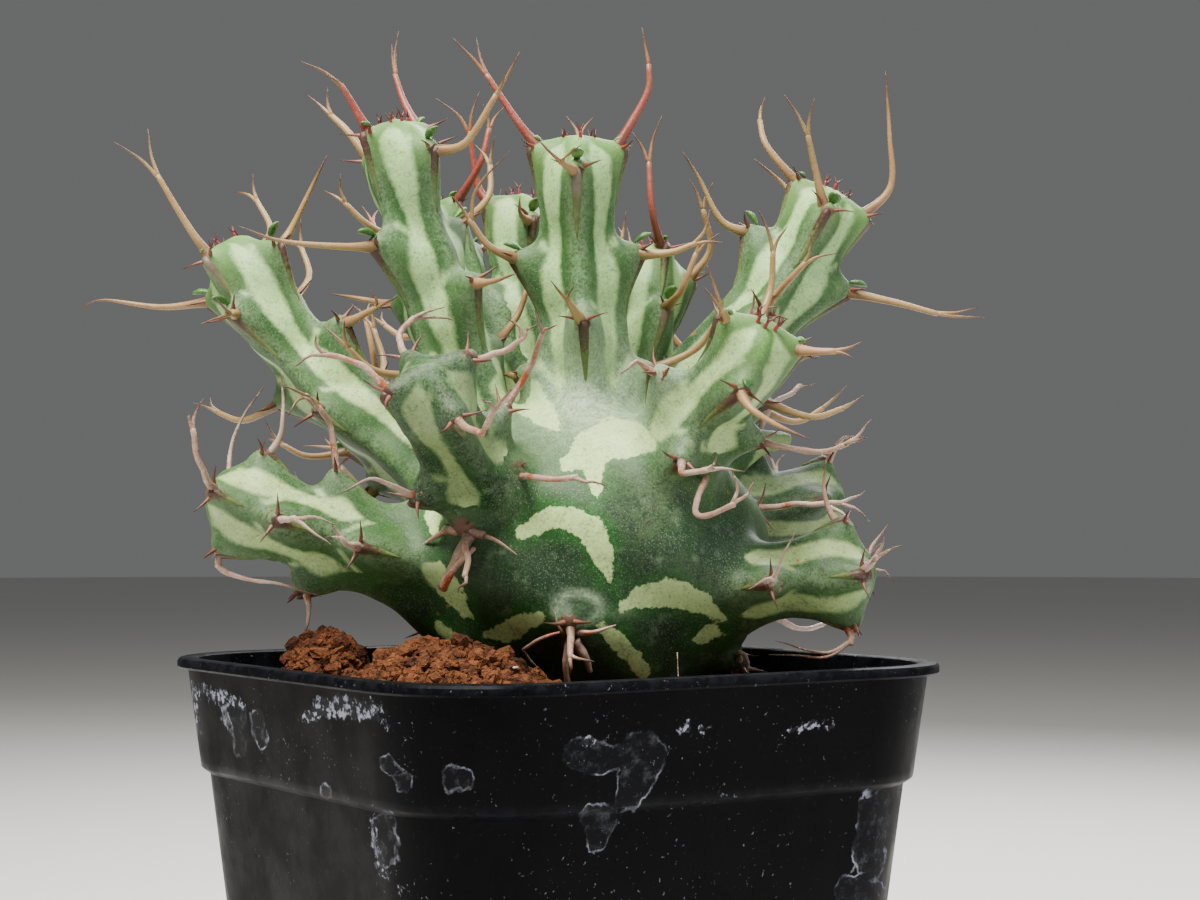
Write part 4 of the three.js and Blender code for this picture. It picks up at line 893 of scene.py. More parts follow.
@dataclass
class GlobeShape:
    """The globe with its root and the old tubercles that stand on it."""

    plant: Plant
    wave: float = 0.03
    waves: int = 5
    wave_twist: float = 0.35
    root_radius: float = 11
    root_taper: float = 0.8
    root_foot: float = -20
    root_blend: float = 3
    foot_radius: float = 3.2
    foot_sink: float = 2
    tip_radius: float = 1.25
    knob_near: float = 14
    knob_blend: float = 2.4

    def distance(self, points: Points) -> Points:
        """The distance to the globe's skin, negative inside."""
        offset = points - GLOBE.centre
        angle = np.arctan2(offset[:, 1], offset[:, 0])
        swell = 1 + self.wave * np.cos(angle * self.waves + points[:, 2] * self.wave_twist)
        scaled = offset / GLOBE.radii / np.stack([swell, swell, np.ones_like(swell)], axis=1)
        size = np.linalg.norm(scaled, axis=1)
        slope = np.linalg.norm(scaled / GLOBE.radii, axis=1)
        globe = (size - 1) * size / np.maximum(slope, 1e-4)
        foot = np.array([*GLOBE.centre[:2], self.root_foot])
        root = rod_distance(points, foot, GLOBE.centre, self.root_radius * self.root_taper,
                            self.root_radius)
        skin = smooth_min(globe, root, self.root_blend)
        for knob in self.plant.globe_knobs:
            near = np.linalg.norm(points - knob.centre, axis=1) < self.knob_near
            knob_skin = rod_distance(points[near], knob.root - knob.outward * self.foot_sink,
                                     knob.centre - knob.outward, self.foot_radius, self.tip_radius)
            skin[near] = smooth_min(skin[near], knob_skin, self.knob_blend)
        return skin


# The curved spur on the lower right arm, as it shows from the front, with its radii.
SPUR_PATH = ((21, 22, 8), (25.5, 28.5, 13), (30, 31.5, 15), (34.5, 32, 16))
SPUR_RADII = (3.6, 3.0, 2.3, 1.2)


class SkinField:
    """The whole plant's skin as a field of distances, in the plant's frame."""

    FAR = 9.0
    ARM_ROOM = 11
    ARM_SPAN = 8
    GLOBE_ROOM = 30
    ROOT_ROOM = 10
    SPUR_ROOM = 6
    BLEND = 5.0

    def __init__(self, plant: Plant) -> None:
        """Takes up the plant's plan."""
        self.plant = plant
        self.globe = GlobeShape(plant)
        self.shapes = [ArmShape(arm) for arm in plant.arms]
        self.spur = PLANT.seen(SPUR_PATH)

    def bounds(self) -> tuple[Points, Points]:
        """The lowest and highest corners that the skin needs."""
        stops = np.vstack([shape.arm.line.points for shape in self.shapes])
        low = np.minimum(stops.min(0) - self.ARM_ROOM, GLOBE.centre - self.GLOBE_ROOM)
        high = np.maximum(stops.max(0) + self.ARM_ROOM, GLOBE.centre + self.GLOBE_ROOM)
        low[2] = self.globe.root_foot - self.ROOT_ROOM
        return low, high

    def span(self, shape: ArmShape) -> tuple[Points, Points]:
        """The corners of the box that an arm's skin lies in."""
        line = shape.arm.line
        room = line.radius.max() + self.ARM_SPAN
        return line.points.min(0) - room, line.points.max(0) + room

    def spur_distance(self, points: Points) -> Points:
        """The distance to the curved spur."""
        gaps = [rod_distance(points, start, end, first, last) for start, end, first, last
                in zip(self.spur, self.spur[1:], SPUR_RADII, SPUR_RADII[1:])]
        return np.min(gaps, axis=0)

    def grid(self, voxel: float) -> tuple[Points, Points]:
        """Fills a grid with the distances to the skin.

        Args:
            voxel: The grid's step, in millimetres.

        Returns:
            The grid and the place of its first point.
        """
        low, high = self.bounds()
        counts = np.ceil((high - low) / voxel).astype(int) + 1
        axes = [low[axis] + np.arange(counts[axis]) * voxel for axis in range(3)]
        arms, globe = (np.full(counts, self.FAR, np.float32) for _ in range(2))

        def fill(target: Points, corner_low: Points, corner_high: Points, measure: Callable) -> None:
            """Lowers a grid to the distances measured in the box between two corners."""
            spans = [slice(max(int((corner_low[axis] - low[axis]) / voxel), 0),
                           min(int((corner_high[axis] - low[axis]) / voxel) + 2, counts[axis]))
                     for axis in range(3)]
            block = np.stack(np.meshgrid(*(axes[axis][spans[axis]] for axis in range(3)),
                                         indexing="ij"), axis=-1)
            values = measure(block.reshape(-1, 3))
            view = target[tuple(spans)]
            np.minimum(view, values.reshape(view.shape), out=view)

        globe_low = GLOBE.centre - GLOBE.radii - self.FAR
        globe_low[2] = low[2]
        fill(globe, globe_low, GLOBE.centre + GLOBE.radii + self.FAR, self.globe.distance)
        for shape in self.shapes:
            fill(arms, *self.span(shape), shape.distance)
        fill(arms, self.spur.min(0) - self.SPUR_ROOM, self.spur.max(0) + self.SPUR_ROOM,
             self.spur_distance)
        return smooth_min(globe, arms, self.BLEND), low


# Pale patches on the globe: columns and rows of the photograph's frame, and half widths in millimetres.
PATCHES: tuple[tuple, ...] = (
    ((520, 533, 0.8), (545, 520, 1.5), (570, 517, 1.9), (590, 530, 2.1), (602, 552, 1.8), (609, 579, 0.5)),
    ((489, 634, 0.7), (505, 632, 1.5), (522, 624, 1.6), (542, 616, 0.8)),
    ((601, 627, 0.6), (618, 640, 1.3), (632, 655, 1.4), (644, 673, 0.9)),
    ((623, 606, 0.8), (645, 594, 1.7), (672, 592, 2.1), (700, 602, 1.8), (730, 621, 0.7)),
    ((360, 582, 1.0), (385, 568, 1.7), (412, 562, 1.9), (435, 572, 1.9), (452, 592, 1.6), (468, 614, 0.8)),
    ((569, 463, 1.2), (590, 447, 2.6), (615, 437, 3.1), (640, 438, 2.5), (666, 447, 0.9)),
    ((592, 458, 2.0), (595, 480, 1.2), (598, 497, 0.4)),
    ((430, 500, 0.8), (432, 515, 1.6), (433, 531, 0.8)),
    ((478, 360, 1.4), (500, 378, 2.5), (525, 395, 2.6), (546, 416, 1.8), (557, 430, 0.5)),
    ((695, 640, 0.5), (712, 632, 1.2), (735, 636, 0.5)),
    ((436, 622, 0.5), (448, 634, 1.1), (462, 650, 0.5)),
)


def distance_to_line(points: Points, stops: Points, halves: Sequence[float]) -> Points:
    """The distance from points to a line of straight legs, less half its width at each stop."""
    return np.min([rod_distance(points, *legs) for legs in
                   zip(stops, stops[1:], halves, halves[1:])], axis=0)


def inside_marks(points: Points, marks: Sequence[Sequence], outside: float) -> Points:
    """How far inside marks that show from the front points lie, in millimetres.

    Args:
        points: Points of the plant's frame.
        marks: The marks, each a line of stops: column, row and half width.
        outside: What points far from every mark get.

    Returns:
        The depth in the deepest mark, one for each point.
    """
    flat = np.pad(PLANT.shown(points), ((0, 0), (0, 1)))
    depth = np.full(len(points), outside)
    for mark in marks:
        stops = np.array([(*PLANT.of_pixel(column, row), 0) for column, row, _ in mark])
        depth = np.maximum(depth, -distance_to_line(flat, stops, [half for _, _, half in mark]))
    return depth


@dataclass
class SkinPattern:
    """Where the skin is pale, brown, bloomed or young, and how much painted shade darkens it, at each of its
    points.

    Its sizes are in millimetres, and places on the front are columns and rows of the photograph.
    """

    field: SkinField
    outside: float = -9.0
    stripe: float = 1.35
    stripe_wander: float = 0.35
    stripe_shift: float = 0.3
    stripe_start: float = 8.0
    chevron: float = 0.3
    chevron_drop: float = 4.6
    chevron_slope: float = 0.75
    patch_turn: float = 0.17
    patch_slope: float = 3.0
    patch_arch: float = 1.6
    patch_ends: tuple = (0.4, 1, 0.5)
    rib_width: float = 1.5
    young_length: float = 9.0
    young_old: float = 0.25
    shield_length: float = 4.5
    shield_width: float = 0.8
    shield_reach: float = 9.5
    ridge_width: float = 2.2
    globe_shield: tuple = (0.7, 2.2)
    on_arm: tuple = (-2.5, 3.5)
    facing: tuple = (-8.0, 12.0)
    haze_place: tuple = (6.0, 40.0)
    haze_size: tuple = (11.0, 8.5)
    halo_pixel: tuple = (578, 608)
    halo_size: tuple = (3.3, 0.9)
    halo_squash: float = 1.5
    halo_share: float = 0.5
    # painted shade low on the globe: the heights over which it darkens, and how strongly
    low: tuple = (-31.0, -14.0)
    low_share: float = 0.85
    # a pool of painted shade on the globe's front: its column and row, its size and its strength
    hollow_pixel: tuple = (632, 512)
    hollow_size: float = 9.0
    hollow_share: float = 0.9
    seed: int = 17

    def back_patches(self) -> list[tuple[Points, float]]:
        """Pale patches for the sides and the back of the globe, laid by rule."""
        draw = random.Random(self.seed)
        patches = []
        for bearing in range(5, 180, 19):
            for height in (0, 14, 28):
                angle = math.radians(bearing + draw.uniform(-6, 6))
                level = height + draw.uniform(-3, 3)
                lean = draw.uniform(-0.8, 0.8)
                stops = [GLOBE.side(angle + step * self.patch_turn, level + step * self.patch_slope * lean
                                    + (1 - step * step) * self.patch_arch) for step in (-1, 0, 1)]
                patches.append((np.array(stops), draw.uniform(1.6, 2.6)))
        return patches

    def globe_pale(self, points: Points) -> Points:
        """How far inside a pale patch of the globe points lie, in millimetres."""
        pale = np.full(len(points), self.outside)
        front = points[:, 1] < GLOBE.centre[1] - 4
        pale[front] = inside_marks(points[front], PATCHES, self.outside)
        for stops, half in self.back_patches():
            inside = -distance_to_line(points[~front], stops, [half * share for share in self.patch_ends])
            pale[~front] = np.maximum(pale[~front], inside)
        return pale

    def arm_pale(self, shape: ArmShape, reading: ArmReading) -> Points:
        """How far inside the pale stripes of an arm points lie, in millimetres."""
        line = shape.arm.line
        side = np.sign(reading.turned)
        valley = np.mod(reading.rib + side / 2, GROWTH.ribs)
        to_valley = np.maximum(reading.reach, 1) * (QUARTER / 2 - np.abs(reading.turned))
        wander = self.stripe_wander * np.sin(reading.along * 0.33 + valley * 2.1 + line.turn * 5)
        shift = self.stripe_shift * np.sin(reading.along * 0.21 + valley * 3.3 + line.turn * 9) * side
        stripe = self.stripe + wander - np.abs(to_valley + shift)
        stripe -= smooth_step(reading.along, line.length - 2, line.length + 1) * 1.6
        start = shape.arm.plan.stripe_from
        stripe -= (1 - smooth_step(reading.along, start, start + self.stripe_start)) * 3
        for knob in shape.arm.tubercles:
            mine = reading.rib == knob.rib
            off = reading.off_rib[mine]
            step = reading.along[mine] - knob.along - self.chevron_drop + off * 0.9
            branch = self.chevron - np.abs(step) * self.chevron_slope - np.maximum(0, 1.5 - off) * 1.4
            stripe[mine] = np.maximum(stripe[mine], branch)
        return stripe

    def paint(self, points: Points) -> dict[str, Points]:
        """Measures the pattern.

        Args:
            points: The skin's points, in the plant's frame.

        Returns:
            The named values, one for each point.
        """
        count = len(points)
        globe = self.field.globe.distance(points)
        nearest = np.full(count, SkinField.FAR)
        ridge, young, on_rib, dark, along = (np.zeros(count) for _ in range(5))
        pale_arm, brown = np.full(count, self.outside), np.full(count, -2.0)
        for shape in self.field.shapes:
            line = shape.arm.line
            low, high = self.field.span(shape)
            index = np.flatnonzero(((points > low) & (points < high)).all(1))
            reading = shape.read(points[index])
            closer = reading.distance < nearest[index]
            index = index[closer]
            reading = reading.taken(closer)
            nearest[index] = reading.distance
            pale_arm[index] = self.arm_pale(shape, reading)
            on_rib[index] = np.exp(-(reading.off_rib / self.rib_width) ** 2)
            # painted shade of the arm, growing in from its foot
            dark[index] = shape.arm.plan.shade * smooth_step(reading.along, 4, 12)
            along[index] = reading.along
            young[index] = smooth_step(reading.along, line.length - self.young_length, line.length + 1) * (
                self.young_old if shape.arm.plan.age is Age.OLD else 1)
            brown[index], ridge[index] = self.arm_brown(shape, reading)
        on_arm = smooth_step(globe - nearest, *self.on_arm)
        pale_globe = self.globe_pale(points)
        foot = pale_globe - smooth_step(along, 11, 16) * 5
        pale = np.where(on_arm > 0.5, np.maximum(pale_arm - (1 - on_arm) * 3, foot),
                        np.maximum(pale_globe - on_arm * 3, foot))
        deep, fall = self.globe_shield
        for knob in self.field.plant.globe_knobs:
            gap = np.linalg.norm(points - knob.centre, axis=1)
            brown = np.maximum(brown, deep - gap / fall)
        bloom, shade = self.front_parts(points)
        # dark is painted shade: the arms' shade, and the globe's shade low down and in its pool
        return {"pale": pale, "brown": brown, "ridge": ridge, "young": young, "on_rib": on_rib * on_arm,
                "dark": np.maximum(dark * on_arm, shade * (1 - on_arm)), "on_arm": on_arm,
                "bloom": bloom, "height": points[:, 2]}

    def front_parts(self, points: Points) -> tuple[Points, Points]:
        """The bloom on the globe's front, and the painted shade low down on it and in a pool on its front."""
        shown = PLANT.shown(points)
        front = smooth_step(-points[:, 1], *self.facing)
        haze = np.exp(-(((shown - self.haze_place) / self.haze_size) ** 2).sum(1)) * front
        aside, above = (shown - PLANT.of_pixel(*self.halo_pixel)).T
        radius, width = self.halo_size
        halo = np.exp(-((np.hypot(aside, above * self.halo_squash) - radius) / width) ** 2) * front
        # painted shade, darker low on the globe and in a pool on its front
        low = smooth_step(-points[:, 2], *self.low) * self.low_share
        shade_pool = np.hypot(*(shown - PLANT.of_pixel(*self.hollow_pixel)).T)
        shade_pool = self.hollow_share * np.exp(-(shade_pool / self.hollow_size) ** 2) * front
        return np.clip(haze + halo * self.halo_share, 0, 1), np.maximum(low, shade_pool)

    def arm_brown(self, shape: ArmShape, reading: ArmReading) -> tuple[Points, Points]:
        """How far inside the horny brown shields, and how near the ridges below them, points lie."""
        brown = np.full(len(reading.along), -2.0)
        ridge = np.zeros(len(reading.along))
        for knob in shape.arm.tubercles:
            mine = reading.rib == knob.rib
            step = reading.along[mine] - knob.along - GROWTH.lean
            off = reading.off_rib[mine]
            below = np.clip(-step / self.shield_length, 0, 1)
            half = self.shield_width * (1 - below) ** 1.3 - np.maximum(0, step) * 1.6
            brown[mine] = np.maximum(brown[mine], np.where(step > -self.shield_reach, half - off, -2))
            fade = np.exp(-(off / self.ridge_width) ** 2) * smooth_step(step, -16, -4) * (step < 3)
            ridge[mine] = np.maximum(ridge[mine], fade)
        return brown, ridge


# ---------------------------------------------------------------- meshes


def mesh_object(name: str, points: Points, faces: list) -> bpy.types.Object:
    """Makes a smooth object from points and faces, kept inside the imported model's box.

    Args:
        name: The piece's name.
        points: Its points, in the row frame, in metres.
        faces: Its faces.

    Returns:
        The object, linked to the scene.
    """
    margin = 1e-5
    low, high = (np.array(corner) for corner in CAD_BOX)
    mesh = bpy.data.meshes.new(name)
    mesh.from_pydata(np.clip(points, low + margin, high - margin).tolist(), [], faces)
    mesh.validate()
    mesh.shade_smooth()
    piece = bpy.data.objects.new(name, mesh)
    bpy.context.scene.collection.objects.link(piece)
    return piece


def set_values(piece: bpy.types.Object, values: dict[str, Points]) -> None:
    """Stores named values at a mesh's points."""
    for name, numbers in values.items():
        layer = piece.data.attributes.new(name, "FLOAT", "POINT")
        layer.data.foreach_set("value", np.ascontiguousarray(numbers, np.float32))


def hand_over(piece: bpy.types.Object, finish: "Finish", nodes: Sequence[str] = ()) -> None:
    """Dresses a piece, lets it ride with the object and hides the CAD nodes that it stands for.

    Args:
        piece: The finished piece.
        finish: Its finish.
        nodes: The CAD nodes that it replaces.
    """
    piece.data.materials.clear()
    piece.data.materials.append(finish.material())
    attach(piece, BODY_NAME)
    if nodes:
        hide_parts(*nodes)
    LOG.info("%s: %d faces", piece.name, len(piece.data.polygons))


class Tubes:
    """A growing mesh of tapered round rods with the values that their finish reads."""

    OVER = np.array([0.31, -0.87, 0.38])  # a direction that no rod follows, to turn its sides by
    START_DOME = 0.3
    END_DOME = 0.6

    def __init__(self, sides: int) -> None:
        """Starts empty, for rods with so many sides."""
        self.sides = sides
        self.points: list[Points] = []
        self.faces: list[tuple] = []
        self.values: dict[str, list[Points]] = {"along": [], "age": [], "kind": []}
        self.count = 0

    def add(self, path: Points, radii: Points, along: tuple[float, float], age: float = 0.0,
            kind: float = 0.0) -> None:
        """Adds a rod with closed ends.

        Args:
            path: Its middle line.
            radii: Its radius at each point of the line.
            along: The share of the whole spine at which it starts and ends.
            age: How old it is, 0 to 1.
            kind: A value that varies from one spine to the next.
        """
        ahead = unit(np.gradient(path, axis=0))
        side = unit(np.cross(ahead, np.broadcast_to(self.OVER, ahead.shape)))
        over = np.cross(side, ahead)
        turns = np.arange(self.sides) * math.tau / self.sides
        rings = (path[:, None] + side[:, None] * (radii[:, None] * np.cos(turns))[..., None]
                 + over[:, None] * (radii[:, None] * np.sin(turns))[..., None])
        first = self.count
        rows = len(path)
        self.points += [rings.reshape(-1, 3), path[:1] - ahead[:1] * radii[0] * self.START_DOME,
                        path[-1:] + ahead[-1:] * radii[-1] * self.END_DOME]
        last = first + (rows - 1) * self.sides
        start = last + self.sides
        pairs = [(step, (step + 1) % self.sides) for step in range(self.sides)]
        for low in range(first, last, self.sides):
            high = low + self.sides
            self.faces += [(low + step, low + after, high + after, high + step) for step, after in pairs]
        for step, after in pairs:
            self.faces += [(start, first + after, first + step), (start + 1, last + step, last + after)]
        total = rows * self.sides + 2
        shares = np.repeat(np.linspace(*along, rows), self.sides)
        self.values["along"].append(np.concatenate([shares, along]))
        self.values["age"].append(np.full(total, age))
        self.values["kind"].append(np.full(total, kind))
        self.count += total

    def build(self, name: str, finish: "Finish", slot: str) -> None:
        """Makes the rods one dressed object."""
        piece = mesh_object(name, PLANT.to_world(np.vstack(self.points)), self.faces)
        set_values(piece, {key: np.concatenate(parts) for key, parts in self.values.items()})
        hand_over(piece, finish)


class Stamp:
    """Copies of one modelled shape, each turned, scaled and placed, in one mesh."""

    def __init__(self, shape: bpy.types.Object) -> None:
        """Takes up the modelled shape, in units that its copies scale, and removes its object."""
        mesh = shape.data
        self.points = np.array([vertex.co[:] for vertex in mesh.vertices])
        self.faces = [tuple(face.vertices) for face in mesh.polygons]
        self.copies: list[Points] = []
        self.tones: list[float] = []
        bpy.data.objects.remove(shape)

    def add(self, place: Points, axes: Points, tone: float) -> None:
        """Adds a copy.

        Args:
            place: Its origin.
            axes: Its X, Y and Z axes with their lengths, as rows.
            tone: A value that varies from one copy to the next.
        """
        self.copies.append(place + self.points @ axes)
        self.tones.append(tone)

    def build(self, name: str, finish: "Finish", slot: str, smooth: bool = True) -> None:
        """Makes the copies one dressed object. The soil's are placed in the row frame's millimetres."""
        size = len(self.points)
        faces = [tuple(corner + size * index for corner in face)
                 for index in range(len(self.copies)) for face in self.faces]
        points = np.vstack(self.copies)
        piece = mesh_object(name, points * MM if slot == "soil" else PLANT.to_world(points), faces)
        if not smooth:
            shape_alone(piece)
            bpy.ops.object.shade_flat()
        set_values(piece, {"tone": np.repeat(self.tones, size)})
        hand_over(piece, finish)


# ---------------------------------------------------------------- tools for materials


def colour_of(code: str) -> tuple[float, float, float, float]:
    """The linear colour of a hexadecimal code, with full cover."""
    parts = [int(code[start:start + 2], 16) / 255 for start in (1, 3, 5)]
    linear = [part / 12.92 if part <= 0.04045 else ((part + 0.055) / 1.055) ** 2.4 for part in parts]
    return (*linear, 1.0)


Feed = NodeSocket | str | float | tuple


class Sketch:
    """A node tree that is written from left to right."""

    def __init__(self, tree: bpy.types.NodeTree) -> None:
        """Takes up a material's or a group's tree."""
        self.tree = tree

    def feed(self, socket: NodeSocket, value: Feed) -> None:
        """Links an output to an input, or sets a plain value or a hexadecimal colour on it."""
        if isinstance(value, NodeSocket):
            self.tree.links.new(value, socket)
        else:
            socket.default_value = colour_of(value) if isinstance(value, str) else value

    def node(self, kind: str, inputs: dict | None = None, **settings) -> bpy.types.Node:
        """Adds a node with settings and inputs."""
        made = self.tree.nodes.new(kind)
        for name, value in settings.items():
            setattr(made, name, value)
        for name, value in (inputs or {}).items():
            self.feed(made.inputs[name], value)
        return made

    def math(self, operation: str, first: Feed, second: Feed = 0.0, clamp: bool = False) -> NodeSocket:
        """A sum, product or other result of two values."""
        made = self.node("ShaderNodeMath", {0: first, 1: second}, operation=operation, use_clamp=clamp)
        return made.outputs[0]

    def times(self, first: Feed, second: Feed) -> NodeSocket:
        """The product of two values."""
        return self.math("MULTIPLY", first, second)

    def plus(self, first: Feed, second: Feed, clamp: bool = False) -> NodeSocket:
        """The sum of two values, kept to 0 to 1 if asked."""
        return self.math("ADD", first, second, clamp)

    def mix(self, share: Feed, first: Feed, second: Feed, blend: str = "MIX") -> NodeSocket:
        """A mixture of two colours."""
        made = self.node("ShaderNodeMix", data_type="RGBA", blend_type=blend)
        for socket, value in zip((made.inputs[0], made.inputs[6], made.inputs[7]), (share, first, second)):
            self.feed(socket, value)
        return made.outputs[2]

    def cover(self, colour: Feed, *coats: tuple) -> NodeSocket:
        """A colour with coats laid over it, each given as its share and its colour."""
        for share, coat in coats:
            colour = self.mix(share, colour, coat)
        return colour

    def span(self, value: Feed, low: float, high: float, to_low: float = 0.0,
             to_high: float = 1.0) -> NodeSocket:
        """A value eased from one span to another."""
        made = self.node("ShaderNodeMapRange", {"Value": value, "From Min": low, "From Max": high,
                                                "To Min": to_low, "To Max": to_high},
                         interpolation_type="SMOOTHSTEP")
        return made.outputs["Result"]

    def noise(self, place: Feed, scale: float, detail: float, rough: float) -> NodeSocket:
        """Cloudy noise from 0 to 1, with so many clouds to a metre."""
        made = self.node("ShaderNodeTexNoise", {"Vector": place, "Scale": scale, "Detail": detail,
                                                "Roughness": rough})
        return made.outputs["Fac"]

    def grey(self, tone: Feed) -> NodeSocket:
        """A grey of a tone, to multiply a colour with."""
        made = self.node("ShaderNodeCombineColor", {"Red": tone, "Green": tone, "Blue": tone})
        return made.outputs["Color"]

    def value(self, name: str) -> NodeSocket:
        """A value that is stored at the mesh's points."""
        return self.node("ShaderNodeAttribute", attribute_name=name).outputs["Fac"]

    def grain(self, place: Feed, strength: float = 1.0) -> NodeSocket:
        """Fine grain from 0 to 1, whose node also gives a tone of that strength about 1."""
        made = self.node("ShaderNodeGroup", {"Place": place, "Strength": strength}, node_tree=speckle())
        return made.outputs["Grain"]

    def torn(self, name: str, place: Feed, teeth: Feed, waves: Feed) -> bpy.types.Node:
        """The mask and the edge of a distance that is stored at the mesh's points, torn."""
        return self.node("ShaderNodeGroup", {"Distance": self.value(name), "Place": place,
                                             "Teeth": teeth, "Waves": waves}, node_tree=ragged_edge())


class Socket(Enum):
    """The kinds of socket that a shared effect takes or gives."""

    NUMBER = "NodeSocketFloat"
    VECTOR = "NodeSocketVector"


def shared_effect(name: str, takes: dict[str, Socket], gives: dict[str, Socket],
                  write: Callable[[Sketch, dict], dict]) -> bpy.types.NodeTree:
    """Builds a node group once and hands it out again after that.

    Args:
        name: The effect's name.
        takes: Its inputs.
        gives: Its outputs.
        write: Writes the nodes from the inputs and returns the outputs.

    Returns:
        The group's tree.
    """
    if name in bpy.data.node_groups:
        return bpy.data.node_groups[name]
    tree = bpy.data.node_groups.new(name, "ShaderNodeTree")
    for sockets, way in ((takes, "INPUT"), (gives, "OUTPUT")):
        for label, kind in sockets.items():
            tree.interface.new_socket(label, in_out=way, socket_type=kind.value)
    sketch = Sketch(tree)
    entry = sketch.node("NodeGroupInput")
    outlet = sketch.node("NodeGroupOutput")
    results = write(sketch, {label: entry.outputs[label] for label in takes})
    for label, socket in results.items():
        sketch.feed(outlet.inputs[label], socket)
    return tree


def speckle() -> bpy.types.NodeTree:
    """Fine grains of a lighter or darker tone, for living skin, soil and dried tissue."""
    def write(sketch: Sketch, takes: dict) -> dict:
        """Adds fine and wide noise, and leans the tone about 1."""
        fine = sketch.noise(takes["Place"], 2600, 2, 0.6)
        wide = sketch.noise(takes["Place"], 700, 3, 0.55)
        both = sketch.plus(sketch.times(fine, 0.6), sketch.times(wide, 0.4))
        lean = sketch.times(sketch.math("SUBTRACT", both, 0.5), takes["Strength"])
        return {"Tone": sketch.plus(lean, 1.0), "Grain": both}

    return shared_effect("speckle", {"Place": Socket.VECTOR, "Strength": Socket.NUMBER},
                         {"Tone": Socket.NUMBER, "Grain": Socket.NUMBER}, write)


def ragged_edge() -> bpy.types.NodeTree:
    """Turns a distance in millimetres into a mask whose edge is torn into fine teeth and dots."""
    def write(sketch: Sketch, takes: dict) -> dict:
        """Swings and tears the distance, and eases it into a mask."""
        teeth = sketch.noise(takes["Place"], 900, 4, 0.65)
        wave = sketch.noise(takes["Place"], 260, 2, 0.5)
        torn = sketch.times(sketch.math("SUBTRACT", teeth, 0.5), takes["Teeth"])
        swung = sketch.times(sketch.math("SUBTRACT", wave, 0.5), takes["Waves"])
        edge = sketch.plus(takes["Distance"], sketch.plus(torn, swung))
        return {"Mask": sketch.span(edge, -0.12, 0.2), "Edge": edge}

    return shared_effect("ragged edge", {"Distance": Socket.NUMBER, "Place": Socket.VECTOR,
                                         "Teeth": Socket.NUMBER, "Waves": Socket.NUMBER},
                         {"Mask": Socket.NUMBER, "Edge": Socket.NUMBER}, write)


@dataclass(frozen=True)
class Look:
    """What a finish feeds the shader with: a colour, and if it varies, a roughness and a height."""

    colour: NodeSocket
    rough: NodeSocket | None = None
    height: NodeSocket | None = None


@dataclass(frozen=True)
class Finish:
    """A surface finish with one material that is made when it is first asked for."""

    name: str = ""
    roughness: float = 0.5
    specular: float = 0.5
    relief: float = 0.0
    relief_strength: float = 1.0

    def material(self) -> bpy.types.Material:
        """The finish's material."""
        if self.name in bpy.data.materials:
            return bpy.data.materials[self.name]
        made = bpy.data.materials.new(self.name)
        made.use_nodes = True
        sketch = Sketch(made.node_tree)
        inputs = made.node_tree.nodes["Principled BSDF"].inputs
        inputs["Roughness"].default_value = self.roughness
        inputs["Specular IOR Level"].default_value = self.specular
        look = self.look(sketch, sketch.node("ShaderNodeTexCoord").outputs["Object"])
        sketch.feed(inputs["Base Color"], look.colour)
        if look.rough:
            sketch.feed(inputs["Roughness"], look.rough)
        if look.height:
            bump = sketch.node("ShaderNodeBump", {"Height": look.height, "Distance": self.relief,
                                                  "Strength": self.relief_strength})
            sketch.feed(inputs["Normal"], bump.outputs["Normal"])
        return made

    def look(self, sketch: Sketch, place: NodeSocket) -> Look:
        """Writes the finish's own nodes, from the place on the object."""
        raise NotImplementedError


